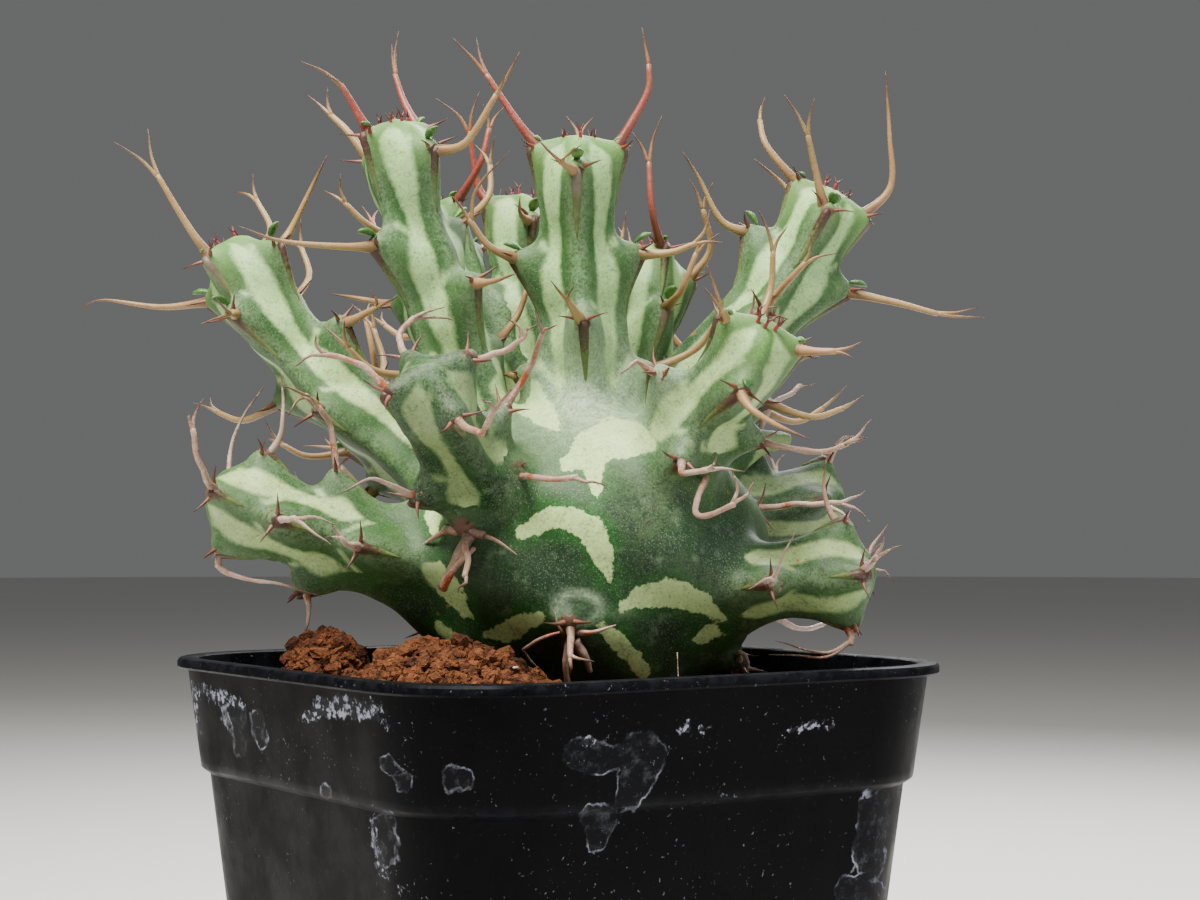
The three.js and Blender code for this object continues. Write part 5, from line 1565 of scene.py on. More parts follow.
@dataclass(frozen=True)
class LivingSkin(Finish):
    """Variegated green skin: pale ragged patches with dark rims, bloom, brown horny shields and painted
    shade.
    """

    name: str = "living skin"
    specular: float = 0.27
    relief: float = 0.00022
    relief_strength: float = 0.7
    green: str = "#3a5c2a"
    deep: str = "#24461b"
    # the colour of the painted shade
    night: str = "#10251a"
    rim: str = "#1c5219"
    grey: str = "#66855a"
    pale_low: str = "#aec883"
    pale_high: str = "#a0c482"
    fresh: str = "#71a04c"
    haze: str = "#b3cba8"
    olive: str = "#566048"
    horn: str = "#5f4434"
    horn_dark: str = "#38231a"
    scar: str = "#8f6a3f"

    def look(self, sketch: Sketch, place: NodeSocket) -> Look:
        """Writes the skin."""
        grain = sketch.grain(place, 1.5)
        clouds = sketch.noise(place, 120, 3, 0.55)
        on_arm = sketch.value("on_arm")
        edge = sketch.torn("pale", place, sketch.span(on_arm, 0, 1, 1.9, 0.8),
                           sketch.span(on_arm, 0, 1, 1.6, 0.8)).outputs
        soft = sketch.times(sketch.span(edge["Edge"], -0.5, 0.5), 0.85)
        mask = sketch.plus(sketch.times(soft, on_arm),
                           sketch.times(edge["Mask"], sketch.math("SUBTRACT", 1.0, on_arm)), True)
        colour = sketch.mix(mask, self.green_parts(sketch, grain, clouds, on_arm, edge["Edge"]),
                            self.pale_parts(sketch, grain, on_arm))
        bloom = sketch.times(sketch.value("bloom"), sketch.span(grain, 0.35, 0.65, 0.5, 0.85))
        bloom = sketch.times(bloom, sketch.span(mask, 0.0, 1.0, 1.0, 0.5))
        dust = sketch.times(sketch.span(sketch.noise(place, 340, 4, 0.7), 0.52, 0.75), 0.13)
        colour = sketch.mix(sketch.math("MAXIMUM", bloom, dust), colour, self.haze)
        colour = sketch.mix(1.0, colour, sketch.grey(grain.node.outputs["Tone"]), "MULTIPLY")
        flecks = sketch.times(sketch.span(sketch.noise(place, 4600, 2, 0.5), 0.56, 0.7),
                              sketch.span(clouds, 0.3, 0.7, 0.08, 0.24))
        ridge = sketch.times(sketch.value("ridge"), sketch.span(grain, 0.42, 0.56, 0.1, 0.4))
        shield = sketch.torn("brown", place, 0.6, 0.4).outputs["Mask"]
        horn = sketch.mix(sketch.span(clouds, 0.4, 0.6), self.horn, self.horn_dark)
        spots = sketch.node("ShaderNodeTexVoronoi", {"Vector": place, "Scale": 150.0}).outputs["Distance"]
        scars = sketch.times(sketch.span(spots, 0.09, 0.05), sketch.span(clouds, 0.56, 0.6))
        colour = sketch.cover(colour, (flecks, self.haze), (ridge, self.olive), (shield, horn),
                              (scars, self.scar))
        rough = sketch.plus(sketch.plus(sketch.times(grain, 0.35), 0.36), sketch.times(edge["Mask"], -0.06))
        return Look(colour, rough, sketch.plus(sketch.times(grain, 0.5), sketch.times(shield, 0.5)))

    def green_parts(self, sketch: Sketch, grain: NodeSocket, clouds: NodeSocket, on_arm: NodeSocket,
                    edge: NodeSocket) -> NodeSocket:
        """The green between the patches: grey on the ribs, fresh at the tips, painted shade low on the globe
        and on shaded arms, dark at patches.
        """
        ribbed = sketch.times(sketch.value("on_rib"), sketch.span(grain, 0.38, 0.6, 0.25, 0.9))
        # dark: the stored painted shade, broken up by the grain
        dark = sketch.times(sketch.value("dark"), sketch.span(grain, 0.35, 0.6, 1.0, 0.75))
        near = sketch.times(sketch.span(edge, -2.6, -0.4), sketch.span(grain, 0.4, 0.56, 0.45, 1.0))
        near = sketch.times(near, sketch.span(on_arm, 0, 1, 0.85, 0.45))
        return sketch.cover(self.green, (sketch.span(clouds, 0.35, 0.65), self.deep), (ribbed, self.grey),
                            (sketch.times(sketch.value("young"), 0.75), self.fresh),
                            (sketch.times(dark, 0.92), self.night), (near, self.rim))

    def pale_parts(self, sketch: Sketch, grain: NodeSocket, on_arm: NodeSocket) -> NodeSocket:
        """The pale of the patches: yellower low on the plant, and dimmed on shaded arms."""
        dim = sketch.times(sketch.times(sketch.value("dark"), on_arm), 0.5)
        return sketch.cover(self.pale_low, (sketch.span(sketch.value("height"), 25, 60), self.pale_high),
                            (sketch.span(grain, 0.34, 0.46, 0.3, 0.0), self.green), (dim, self.night))


@dataclass(frozen=True)
class HornySpine(Finish):
    """Spines: red and pink when new, tan when grown, mauve-grey and scabbed when old, with painted highlight
    flecks.
    """

    name: str = "horny spine"
    roughness: float = 0.42
    specular: float = 0.45
    relief: float = 0.0002
    relief_strength: float = 0.4
    new: str = "#85342c"
    middle: str = "#85603e"
    grown: str = "#957a4c"
    old: str = "#9c7f6d"
    bleached: str = "#b3a499"
    warm: str = "#96694d"
    tip: str = "#40200f"
    streak: str = "#7a4a30"
    scab: str = "#8f4319"
    # the colour of painted highlights on grown and old spines
    shine: str = "#e2d2c4"

    def look(self, sketch: Sketch, place: NodeSocket) -> Look:
        """Writes the spine."""
        grain = sketch.grain(place)
        age, along, kind = (sketch.value(name) for name in ("age", "along", "kind"))
        red = sketch.mix(sketch.span(along, 0.35, 0.75), self.new, self.middle)
        aged = sketch.mix(sketch.span(kind, 0.6, 0.8), self.old, self.bleached)
        colour = sketch.cover(red, (sketch.span(age, 0.1, 0.4), self.grown),
                              (sketch.span(age, 0.5, 0.9), aged))
        warm = sketch.mix(kind, colour, self.warm)
        dark = sketch.plus(sketch.span(along, 0.56, 0.98, 0.0, 0.93),
                           sketch.span(along, 0.24, 0.02, 0.0, 0.68), True)
        streak = sketch.times(sketch.span(sketch.noise(place, 300, 4, 0.6), 0.5, 0.7), 0.28)
        dried = sketch.times(sketch.span(age, 0.6, 0.95),
                             sketch.span(sketch.noise(place, 210, 3, 0.6), 0.53, 0.62))
        # painted highlight flecks, more on older spines
        shine = sketch.times(sketch.span(grain, 0.52, 0.64), sketch.span(age, 0.4, 0.9, 0.05, 0.3))
        colour = sketch.cover(colour, (sketch.times(kind, 0.5), warm), (dark, self.tip),
                              (streak, self.streak),
                              (sketch.times(dried, sketch.span(along, 0.6, 0.2)), self.scab),
                              (shine, self.shine))
        return Look(colour, sketch.span(grain, 0.3, 0.7, 0.3, 0.62), sketch.noise(place, 900, 4, 0.6))


@dataclass(frozen=True)
class HornyRidge(Finish):
    """Brown horn below the shields that fades to olive where it meets the green."""

    name: str = "horny ridge"
    specular: float = 0.35
    relief: float = 0.00015
    relief_strength: float = 0.6
    brown: str = "#432c22"
    grey: str = "#6f6353"
    olive: str = "#5a6c35"
    streak: str = "#33211a"

    def look(self, sketch: Sketch, place: NodeSocket) -> Look:
        """Writes the ridge."""
        grain = sketch.grain(place)
        top = sketch.mix(sketch.span(sketch.value("tone"), 0.5, 1.0), self.brown, self.grey)
        share = sketch.plus(sketch.value("along"), sketch.span(grain, 0.3, 0.7, -0.25, 0.25))
        streak = sketch.span(sketch.noise(place, 700, 4, 0.6), 0.45, 0.62, 0.0, 0.3)
        colour = sketch.cover(top, (sketch.span(share, 0.18, 0.68), self.olive), (streak, self.streak))
        return Look(colour, sketch.span(grain, 0.3, 0.7, 0.4, 0.65), sketch.noise(place, 1100, 4, 0.6))


@dataclass(frozen=True)
class Prickle(Finish):
    """Thin red-brown prickles."""

    name: str = "prickle"
    roughness: float = 0.45
    specular: float = 0.4
    young: str = "#8a2c30"
    base: str = "#7d4a38"
    tan: str = "#a5785a"
    tip: str = "#3d1f18"
    speck: str = "#6d352e"

    def look(self, sketch: Sketch, place: NodeSocket) -> Look:
        """Writes the prickle."""
        grain = sketch.grain(place)
        colour = sketch.cover(self.young, (sketch.span(sketch.value("age"), 0.05, 0.3), self.base),
                              (sketch.times(sketch.value("kind"), 0.5), self.tan),
                              (sketch.span(sketch.value("along"), 0.1, 0.9), self.tip),
                              (sketch.span(grain, 0.45, 0.62, 0.0, 0.3), self.speck))
        return Look(colour, sketch.span(grain, 0.3, 0.7, 0.35, 0.6))


@dataclass(frozen=True)
class DriedShield(Finish):
    """Crusted plates at the tubercles' tips: dark brown when young, orange-brown and flaking when old."""

    name: str = "dried shield"
    roughness: float = 0.6
    specular: float = 0.3
    relief: float = 0.0003
    relief_strength: float = 0.7
    dark: str = "#3a231a"
    orange: str = "#7d3f1f"
    crust: str = "#a58a72"

    def look(self, sketch: Sketch, place: NodeSocket) -> Look:
        """Writes the plate."""
        grain = sketch.grain(place)
        patchy = sketch.noise(place, 520, 4, 0.65)
        old = sketch.value("tone")
        warm = sketch.mix(sketch.span(patchy, 0.4, 0.6), self.dark, self.orange)
        flakes = sketch.times(sketch.span(grain, 0.5, 0.6, 0.0, 0.8), sketch.span(old, 0.3, 0.9))
        colour = sketch.cover(self.dark, (sketch.span(old, 0.2, 0.9, 0.25, 0.95), warm), (flakes, self.crust))
        return Look(colour, sketch.span(grain, 0.3, 0.7, 0.45, 0.8), sketch.plus(grain, patchy))


@dataclass(frozen=True)
class FleshyLeaf(Finish):
    """Small fresh green leaves."""

    name: str = "fleshy leaf"
    roughness: float = 0.4
    relief: float = 0.0001
    relief_strength: float = 0.5
    green: str = "#46752f"
    dark: str = "#24501f"
    light: str = "#6f9a4e"

    def look(self, sketch: Sketch, place: NodeSocket) -> Look:
        """Writes the leaf."""
        grain = sketch.grain(place)
        light = sketch.span(sketch.noise(place, 500, 3, 0.6), 0.45, 0.65, 0.0, 0.5)
        colour = sketch.cover(self.green, (sketch.value("tone"), self.dark), (light, self.light))
        return Look(colour, sketch.span(grain, 0.3, 0.7, 0.3, 0.5), grain)


@dataclass(frozen=True)
class GrittySoil(Finish):
    """Crumbly red-brown soil."""

    name: str = "gritty soil"
    roughness: float = 0.92
    specular: float = 0.15
    relief: float = 0.0006
    warm: str = "#4c2a19"
    dark: str = "#1d0f0a"
    bright: str = "#85522f"
    pit: str = "#2a150c"

    def look(self, sketch: Sketch, place: NodeSocket) -> Look:
        """Writes the soil."""
        grain = sketch.grain(place)
        lump = sketch.noise(place, 330, 5, 0.65)
        colour = sketch.cover(self.dark, (sketch.span(lump, 0.38, 0.6), self.warm),
                              (sketch.times(sketch.value("tone"), 0.5), self.bright),
                              (sketch.span(grain, 0.55, 0.66, 0.0, 0.5), self.bright),
                              (sketch.span(grain, 0.46, 0.36, 0.0, 0.6), self.pit))
        return Look(colour, sketch.span(grain, 0.3, 0.7, 0.8, 1.0), sketch.plus(lump, grain))


@dataclass(frozen=True)
class DryDebris(Finish):
    """Dry pale leaf bits and mineral grit."""

    name: str = "dry debris"
    roughness: float = 0.85
    specular: float = 0.2
    relief: float = 0.0003
    relief_strength: float = 0.8
    pale: str = "#bdb2a1"
    brown: str = "#7d5c42"
    bleached: str = "#d6cfc4"

    def look(self, sketch: Sketch, place: NodeSocket) -> Look:
        """Writes the debris."""
        grain = sketch.grain(place)
        colour = sketch.cover(self.brown, (sketch.span(grain, 0.4, 0.62), self.pale),
                              (sketch.times(sketch.value("tone"), 0.5), self.bleached))
        return Look(colour, height=grain)


@dataclass(frozen=True)
class StainedPlastic(Finish):
    """Thin black plastic with white mineral stains, drips, scuffs, dust and a painted highlight on the rim
    and the band's foot.
    """

    name: str = "stained plastic"
    specular: float = 0.04
    relief: float = 0.00012
    relief_strength: float = 0.6
    black: str = "#040406"
    # the colour of scuffs, and of the painted highlight on the rim and the band's foot
    worn: str = "#15171c"
    mineral: str = "#a3a8b8"

    def look(self, sketch: Sketch, place: NodeSocket) -> Look:
        """Writes the plastic."""
        crust = sketch.noise(place, 420, 6, 0.75)
        white = self.mineral_parts(sketch, place, crust)
        film = sketch.span(sketch.noise(place, 55, 5, 0.6), 0.5, 0.75, 0.0, 0.1)
        # the rim and the band's foot: real scuffs with a painted highlight along both edges
        rim = sketch.times(sketch.value("worn"), sketch.span(crust, 0.42, 0.6, 0.15, 0.9))
        colour = sketch.cover(self.black, (sketch.plus(film, rim), self.worn),
                              (sketch.times(white, 0.75), self.mineral))
        rough = sketch.plus(sketch.span(sketch.noise(place, 140, 4, 0.6), 0.3, 0.7, 0.32, 0.5),
                            sketch.times(white, 0.4), True)
        swell = sketch.plus(sketch.times(sketch.grain(place), 0.4), sketch.times(white, 0.5))
        return Look(colour, rough, swell)

    @staticmethod
    def mineral_parts(sketch: Sketch, place: NodeSocket, crust: NodeSocket) -> NodeSocket:
        """How white the stains are: broken rings round the drips, beads in the bands, and specks."""
        dried = sketch.torn("stain", place, 1.1, 2.4).outputs
        ring = sketch.times(sketch.span(sketch.math("ABSOLUTE", dried["Edge"]), 0.26, 0.04),
                            sketch.span(sketch.noise(place, 190, 3, 0.6), 0.42, 0.64, 0.06, 0.95))
        ring = sketch.times(ring, sketch.span(crust, 0.4, 0.6, 0.15, 0.85))
        inner = sketch.times(dried["Mask"], sketch.span(crust, 0.48, 0.75, 0.01, 0.17))
        beads = sketch.times(sketch.torn("crust", place, 3.6, 2.0).outputs["Mask"],
                             sketch.span(sketch.noise(place, 1000, 3, 0.6), 0.48, 0.6, 0.04, 1.0))
        specks = sketch.times(sketch.span(sketch.noise(place, 1700, 2, 0.6), 0.67, 0.73),
                              sketch.span(sketch.noise(place, 90, 2, 0.5), 0.45, 0.6, 0.1, 0.8))
        stains = sketch.math("MAXIMUM", sketch.math("MAXIMUM", ring, inner), beads)
        return sketch.plus(stains, sketch.times(specks, 0.4), True)


@dataclass(frozen=True)
class StudioPaper(Finish):
    """Plain pale paper for the floor."""

    name: str = "studio paper"
    roughness: float = 0.9
    specular: float = 0.2
    pale: str = "#d9d9d6"
    paler: str = "#dededb"

    def look(self, sketch: Sketch, place: NodeSocket) -> Look:
        """Writes the paper."""
        return Look(sketch.mix(sketch.noise(place, 3, 3, 0.5), self.pale, self.paler))


# ---------------------------------------------------------------- shaping by hand


def shape_alone(piece: bpy.types.Object | None = None) -> None:
    """Deselects everything and takes up one piece, or none."""
    if bpy.context.mode != "OBJECT":
        bpy.ops.object.mode_set(mode="OBJECT")
    bpy.ops.object.select_all(action="DESELECT")
    if piece:
        piece.select_set(True)
        bpy.context.view_layer.objects.active = piece


FACING = 0.9  # how far a face's normal has to follow an axis to be taken


def select_faces(piece: bpy.types.Object, test: Callable) -> None:
    """Selects the faces that pass a test, from edit mode and back into it."""
    select_parts(piece, "polygons", "FACE", test)


def select_edges(piece: bpy.types.Object, test: Callable) -> None:
    """Selects the edges whose two ends pass a test, from edit mode and back into it."""
    vertices = piece.data.vertices
    select_parts(piece, "edges", "EDGE",
                 lambda edge: test(vertices[edge.vertices[0]].co, vertices[edge.vertices[1]].co))


def select_parts(piece: bpy.types.Object, parts: str, mode: str, test: Callable) -> None:
    """Selects faces or edges that pass a test.

    Args:
        piece: The piece in edit mode.
        parts: The mesh's collection of them.
        mode: The selection mode they need.
        test: Says whether one is taken.
    """
    bpy.ops.mesh.select_mode(type=mode)
    bpy.ops.mesh.select_all(action="DESELECT")
    bpy.ops.object.mode_set(mode="OBJECT")
    for part in getattr(piece.data, parts):
        part.select = bool(test(part))
    bpy.ops.object.mode_set(mode="EDIT")


# ---------------------------------------------------------------- the plant's pieces


@dataclass
class PlantSkin:
    """The plant's skin: globe, arms, tubercles and spur as one continuous surface."""

    plant: Plant
    voxel: float = 0.68
    quick_voxel: float = 0.95

    def build(self) -> None:
        """Meshes the field of distances and stores the pattern on it."""
        step = self.voxel
        field_of_skin = SkinField(self.plant)
        values, origin = field_of_skin.grid(step)
        grid = openvdb.FloatGrid(SkinField.FAR)
        grid.copyFromArray(values.astype(np.float32))
        points, quads = grid.convertToQuads(0.0)
        points = points.astype(float) * step + origin
        piece = mesh_object("plant_skin", PLANT.to_world(points), self.outward(points, quads).tolist())
        set_values(piece, SkinPattern(field_of_skin).paint(points))
        hand_over(piece, LivingSkin(), ["plant_body", *ARMS])

    @staticmethod
    def outward(points: Points, quads: Points) -> Points:
        """Turns the faces outwards where they point in."""
        corners = points[quads]
        normals = np.cross(corners[:, 2] - corners[:, 0], corners[:, 3] - corners[:, 1])
        volume = (normals * corners.mean(1)).sum()
        return quads[:, ::-1] if volume < 0 else quads


# Dried prongs of the old clusters on the globe's front: columns, rows and lifts off the skin, then
# the radius at the start and the end, in millimetres.
DRIED_PRONGS = (
    (((454, 532, 1.5), (472, 533, 2.4), (492, 537, 2.0)), 0.75, 0.6),
    (((456, 532, 1.6), (446, 539, 2.0), (432, 549, 2.2)), 0.5, 0.06),
    (((490, 537, 2.0), (506, 543, 2.6), (524, 555, 2.6)), 0.42, 0.06),
    (((480, 537, 2.2), (472, 560, 3.4), (463, 583, 4.0)), 0.85, 0.6),
    (((463, 583, 4.0), (476, 566, 4.6), (491, 550, 4.2)), 0.6, 0.3),
    (((566, 626, 1.4), (545, 630, 2.2), (528, 641, 2.0)), 0.3, 0.2),
    (((528, 641, 2.0), (536, 652, 2.0), (547, 664, 1.6)), 0.2, 0.05),
    (((574, 627, 1.6), (592, 624, 2.4), (613, 617, 2.6)), 0.5, 0.1),
    (((572, 630, 1.6), (568, 648, 3.0), (572, 673, 3.6)), 0.6, 0.3),
    (((576, 632, 2.4), (586, 645, 2.8), (590, 658, 2.6)), 0.7, 0.35),
    (((566, 628, 2.0), (560, 616, 2.4), (558, 606, 2.2)), 0.3, 0.05),
)


@dataclass
class Spines:
    """The forked main spines, with the flare where each grows out of its shield."""

    plant: Plant
    root: float = 1.15
    neck: float = 0.66
    fork: float = 0.4
    tip: float = 0.04
    sunk: tuple = (1.1, 0.4)
    flare: float = 2.3
    row_length: float = 0.9
    tip_row_length: float = 0.8
    fork_along: float = 0.55
    prong_along: float = 0.7
    prong_rows: int = 9
    prong_rough: float = 0.08
    age_vary: float = 0.08
    seed: int = 23

    def build(self) -> None:
        """Grows every spine."""
        tubes = Tubes(8)
        draw = np.random.default_rng(self.seed)
        for knob in self.plant.tubercles:
            self.grow(tubes, knob, draw)
        rows = self.prong_rows
        for stops, first, last in DRIED_PRONGS:
            path = np.array([GLOBE.front(*PLANT.of_pixel(column, row)) for column, row, _ in stops])
            path += GLOBE.normal(path) * np.array([lift for _, _, lift in stops])[:, None]
            share = np.linspace(0, 1, rows)
            radii = (first + (last - first) * share) * (1 + draw.normal(0, self.prong_rough, rows))
            tubes.add(curve_through(path, rows), radii, (0, self.prong_along), Age.OLD.value,
                      float(draw.uniform(0, self.prong_along)))
        tubes.build("spines", HornySpine(), "arms")

    def grow(self, tubes: Tubes, knob: Tubercle, draw: np.random.Generator) -> None:
        """Grows one spine with its two tips.

        Args:
            tubes: The mesh that takes it.
            knob: The tubercle that carries it.
            draw: The stream of random numbers.
        """
        spine = knob.spine
        old = knob.age is Age.OLD
        inward, down = self.sunk
        stops = np.vstack([knob.centre - knob.outward * inward - knob.up * down, spine.main])
        length = np.linalg.norm(np.diff(stops, axis=0), axis=1).sum()
        rows = max(8, int(length / self.row_length))
        path = curve_through(stops, rows)
        share = np.linspace(0, 1, rows)
        path += self.sway(share, draw, 0.3 if old else 0.03)
        shut = len(spine.tips) == 0
        end = self.tip if shut else self.fork
        neck = self.neck * (0.72 if old else 1)
        radii = end + (neck - end) * (1 - share) ** (0.75 if shut else 1)
        radii += (self.root - self.neck) * (0.6 if old else 1) * np.exp(-(share * length / self.flare) ** 1.5)
        radii *= 1 + draw.normal(0, 0.05 if old else 0.004, rows)
        kind = float(draw.uniform(0, 1))
        age = knob.age.value + float(draw.uniform(-self.age_vary, self.age_vary))
        tubes.add(path, radii, (0, 1 if shut else self.fork_along), age, kind)
        for place in spine.tips:
            leg = path[-1] - path[-2]
            reach = np.linalg.norm(place - path[-1])
            bend = path[-1] + unit(leg) * reach * 0.12 + (place - path[-1]) * 0.3
            branch = curve_through(np.vstack([path[-1] - unit(leg) * 0.5, bend, place]),
                                   max(6, int(reach / self.tip_row_length)))
            along = np.linspace(0, 1, len(branch))
            branch += self.sway(along, draw, 0.22 if old else 0.04)
            branch[-1] = place
            tubes.add(branch, self.tip + (self.fork * 0.85 - self.tip) * (1 - along) ** 0.9,
                      (self.fork_along, 1), age, kind)

    @staticmethod
    def sway(share: Points, draw: np.random.Generator, size: float) -> Points:
        """Small bends that vanish at both ends."""
        waves = np.zeros((len(share), 3))
        for count in (1, 2, 3, 5):
            waves += np.sin(share * math.pi * count)[:, None] * draw.normal(0, size / count, 3)
        return waves * np.sin(share * math.pi)[:, None]


@dataclass
class Ridges:
    """The horny ridges that run down the ribs from the shields, brown at the top and olive at the tail."""

    plant: Plant
    length: float = 9.5
    old_length: float = 5.0
    half_width: float = 0.85
    stations: int = 12
    end_width: float = 0.06
    reach: float = 14
    profile: tuple = ((-1, -0.3), (-0.75, 0.16), (-0.3, 0.34), (0, 0.4), (0.3, 0.34), (0.75, 0.16), (1, -0.3))
    seed: int = 19

    def strip_faces(self, first: int) -> list[tuple]:
        """The faces of one ridge: its back, its underside and its two ends."""
        columns, rows = len(self.profile), self.stations
        last = first + (rows - 1) * columns
        faces = [(low + step, low + step + 1, low + columns + step + 1, low + columns + step)
                 for low in range(first, last, columns) for step in range(columns - 1)]
        faces += [(low + columns, low + 2 * columns - 1, low + columns - 1, low)
                  for low in range(first, last, columns)]
        return faces + [tuple(reversed(range(first, first + columns))), tuple(range(last, last + columns))]

    def build(self) -> None:
        """Lays a ridge below every shield of the arms."""
        points, faces, along, tones = [], [], [], []
        draw = np.random.default_rng(self.seed)
        size = len(self.profile) * self.stations
        for arm in self.plant.arms:
            shape = ArmShape(arm)
            for knob in arm.tubercles:
                strip, values = self.strip(shape, knob)
                faces += self.strip_faces(size * len(points))
                points.append(strip)
                along.append(values)
                tones.append(np.full(size, draw.uniform()))
        piece = mesh_object("ridges", PLANT.to_world(np.vstack(points)), faces)
        shape_alone(piece)
        bpy.ops.object.mode_set(mode="EDIT")
        bpy.ops.mesh.select_all(action="SELECT")
        bpy.ops.mesh.normals_make_consistent(inside=False)
        bpy.ops.object.mode_set(mode="OBJECT")
        set_values(piece, {"along": np.concatenate(along), "tone": np.concatenate(tones)})
        hand_over(piece, HornyRidge())

    def strip(self, shape: ArmShape, knob: Tubercle) -> tuple[Points, Points]:
        """The points of one ridge and the share of its length at which each lies.

        Args:
            shape: The arm's shape.
            knob: The tubercle that the ridge starts from.

        Returns:
            The points and the shares.
        """
        line = shape.arm.line
        length = self.old_length if knob.age is Age.OLD or knob.level > 3 else self.length
        shares = np.linspace(0, 1, self.stations)
        starts, directions, lifts = [], [], []
        for share in shares:
            spot = knob.along + GROWTH.lean * 0.9 - share * min(length, knob.along)
            place, ahead, _, _, _ = line.at(spot / line.length)
            outward = line.rib_direction(spot / line.length, knob.rib)
            side = np.cross(ahead, outward)
            width = self.half_width * min(1, 0.55 + share * 4) * (1 - share ** 1.6) + self.end_width
            for across, lift in self.profile:
                starts.append(place + side * across * width)
                directions.append(outward)
                lifts.append(lift * (1 - share ** 3))
        directions = np.array(directions)
        skin = shape.surface(np.array(starts), directions, self.reach)
        return skin + directions * np.array(lifts)[:, None], np.repeat(shares, len(self.profile))


@dataclass
class Prickles:
    """The pair of thin prickles beside each spine."""

    plant: Plant
    root: float = 0.5
    tip: float = 0.04
    sunk: float = 0.9
    arch: float = 0.25
    rough: float = 0.12
    rows: int = 8
    crown_forks: int = 6
    crown_radius: float = 0.34
    crown_rows: int = 5
    seed: int = 29

    def build(self) -> None:
        """Grows every prickle."""
        tubes = Tubes(6)
        draw = np.random.default_rng(self.seed)
        share = np.linspace(0, 1, self.rows)
        for knob in self.plant.tubercles:
            for place in knob.prickle_tips(knob.spine.prickle):
                start = knob.centre - knob.outward * self.sunk
                middle = (start * 0.5 + place * 0.5) + knob.outward * self.arch
                middle += draw.normal(0, self.rough, 3)
                path = curve_through(np.vstack([start, middle, place]), self.rows)
                tubes.add(path, self.tip + (self.root - self.tip) * (1 - share) ** 1.2, (0, 1),
                          knob.age.value, float(draw.uniform(0, 1)))
        for arm in self.plant.arms:
            if arm.plan.age is not Age.OLD:
                self.crown(tubes, arm, draw)
        tubes.build("prickles", Prickle(), "arms")

    def crown(self, tubes: Tubes, arm: Arm, draw: np.random.Generator) -> None:
        """Grows the small red forks round an arm's growing point.

        Args:
            tubes: The mesh that takes them.
            arm: The arm.
            draw: The stream of random numbers.
        """
        place, ahead, front, side, radius = arm.line.at(1.0)
        rows = self.crown_rows
        share = np.linspace(0, 1, rows)
        for index in range(self.crown_forks):
            angle = index * math.tau / self.crown_forks + draw.uniform(-0.3, 0.3)
            radial = front * math.cos(angle) + side * math.sin(angle)
            start = place + radial * radius * self.crown_radius - ahead * 0.2
            fork = start + ahead * draw.uniform(1.2, 2.2) + radial * draw.uniform(0.2, 0.8)
            across = np.cross(ahead, radial)
            tubes.add(curve_through(np.vstack([start, fork]), rows), 0.36 - 0.14 * share, (0, 0.5))
            for hand in (-1, 1):
                end = fork + across * hand * draw.uniform(0.5, 0.9) + ahead * draw.uniform(0.7, 1.4)
                tubes.add(curve_through(np.vstack([fork - ahead * 0.1, end]), rows),
                          0.22 - 0.19 * share, (0.5, 1))


@dataclass
class Shields:
    """The crusted plate at each tubercle's tip, copied from one modelled plate."""

    plant: Plant
    width: float = 1.5
    height: float = 1.9
    thickness: float = 0.8
    sunk: tuple = (0.75, 0.3)
    old_size: float = 1.45
    vary: tuple = (0.85, 1.15)
    seed: int = 47

    @staticmethod
    def plate() -> bpy.types.Object:
        """Models one plate, two units across, domed outwards along Z."""
        shape_alone()
        bpy.ops.mesh.primitive_cylinder_add(vertices=10, radius=1, depth=0.5, location=(0, 0, -0.25))
        plate = bpy.context.object
        bpy.ops.object.transform_apply(location=True, rotation=True, scale=True)
        bpy.ops.object.mode_set(mode="EDIT")
        select_faces(plate, lambda face: face.normal.z > FACING)
        bpy.ops.mesh.inset(thickness=0.3, depth=0.22)
        bpy.ops.mesh.inset(thickness=0.3, depth=0.16)
        select_faces(plate, lambda face: face.normal.z < -FACING)
        bpy.ops.transform.resize(value=(1.3, 1.3, 1))
        bpy.ops.mesh.select_all(action="SELECT")
        bpy.ops.transform.vertex_random(offset=0.12, seed=5)
        bpy.ops.object.mode_set(mode="OBJECT")
        return plate

    def build(self) -> None:
        """Copies the plate to every tubercle."""
        stamp = Stamp(self.plate())
        draw = np.random.default_rng(self.seed)
        inward, down = self.sunk
        for knob in self.plant.tubercles:
            size = self.old_size if knob.age is Age.OLD else 1
            size *= draw.uniform(*self.vary)
            axes = np.stack([knob.across * self.width / 2 * size, knob.up * self.height / 2 * size,
                             knob.outward * self.thickness * size])
            stamp.add(knob.centre - knob.outward * inward - knob.up * down, axes,
                      min(knob.age.value + draw.uniform(0, 0.1), 1))
        stamp.build("shields", DriedShield(), "arms")


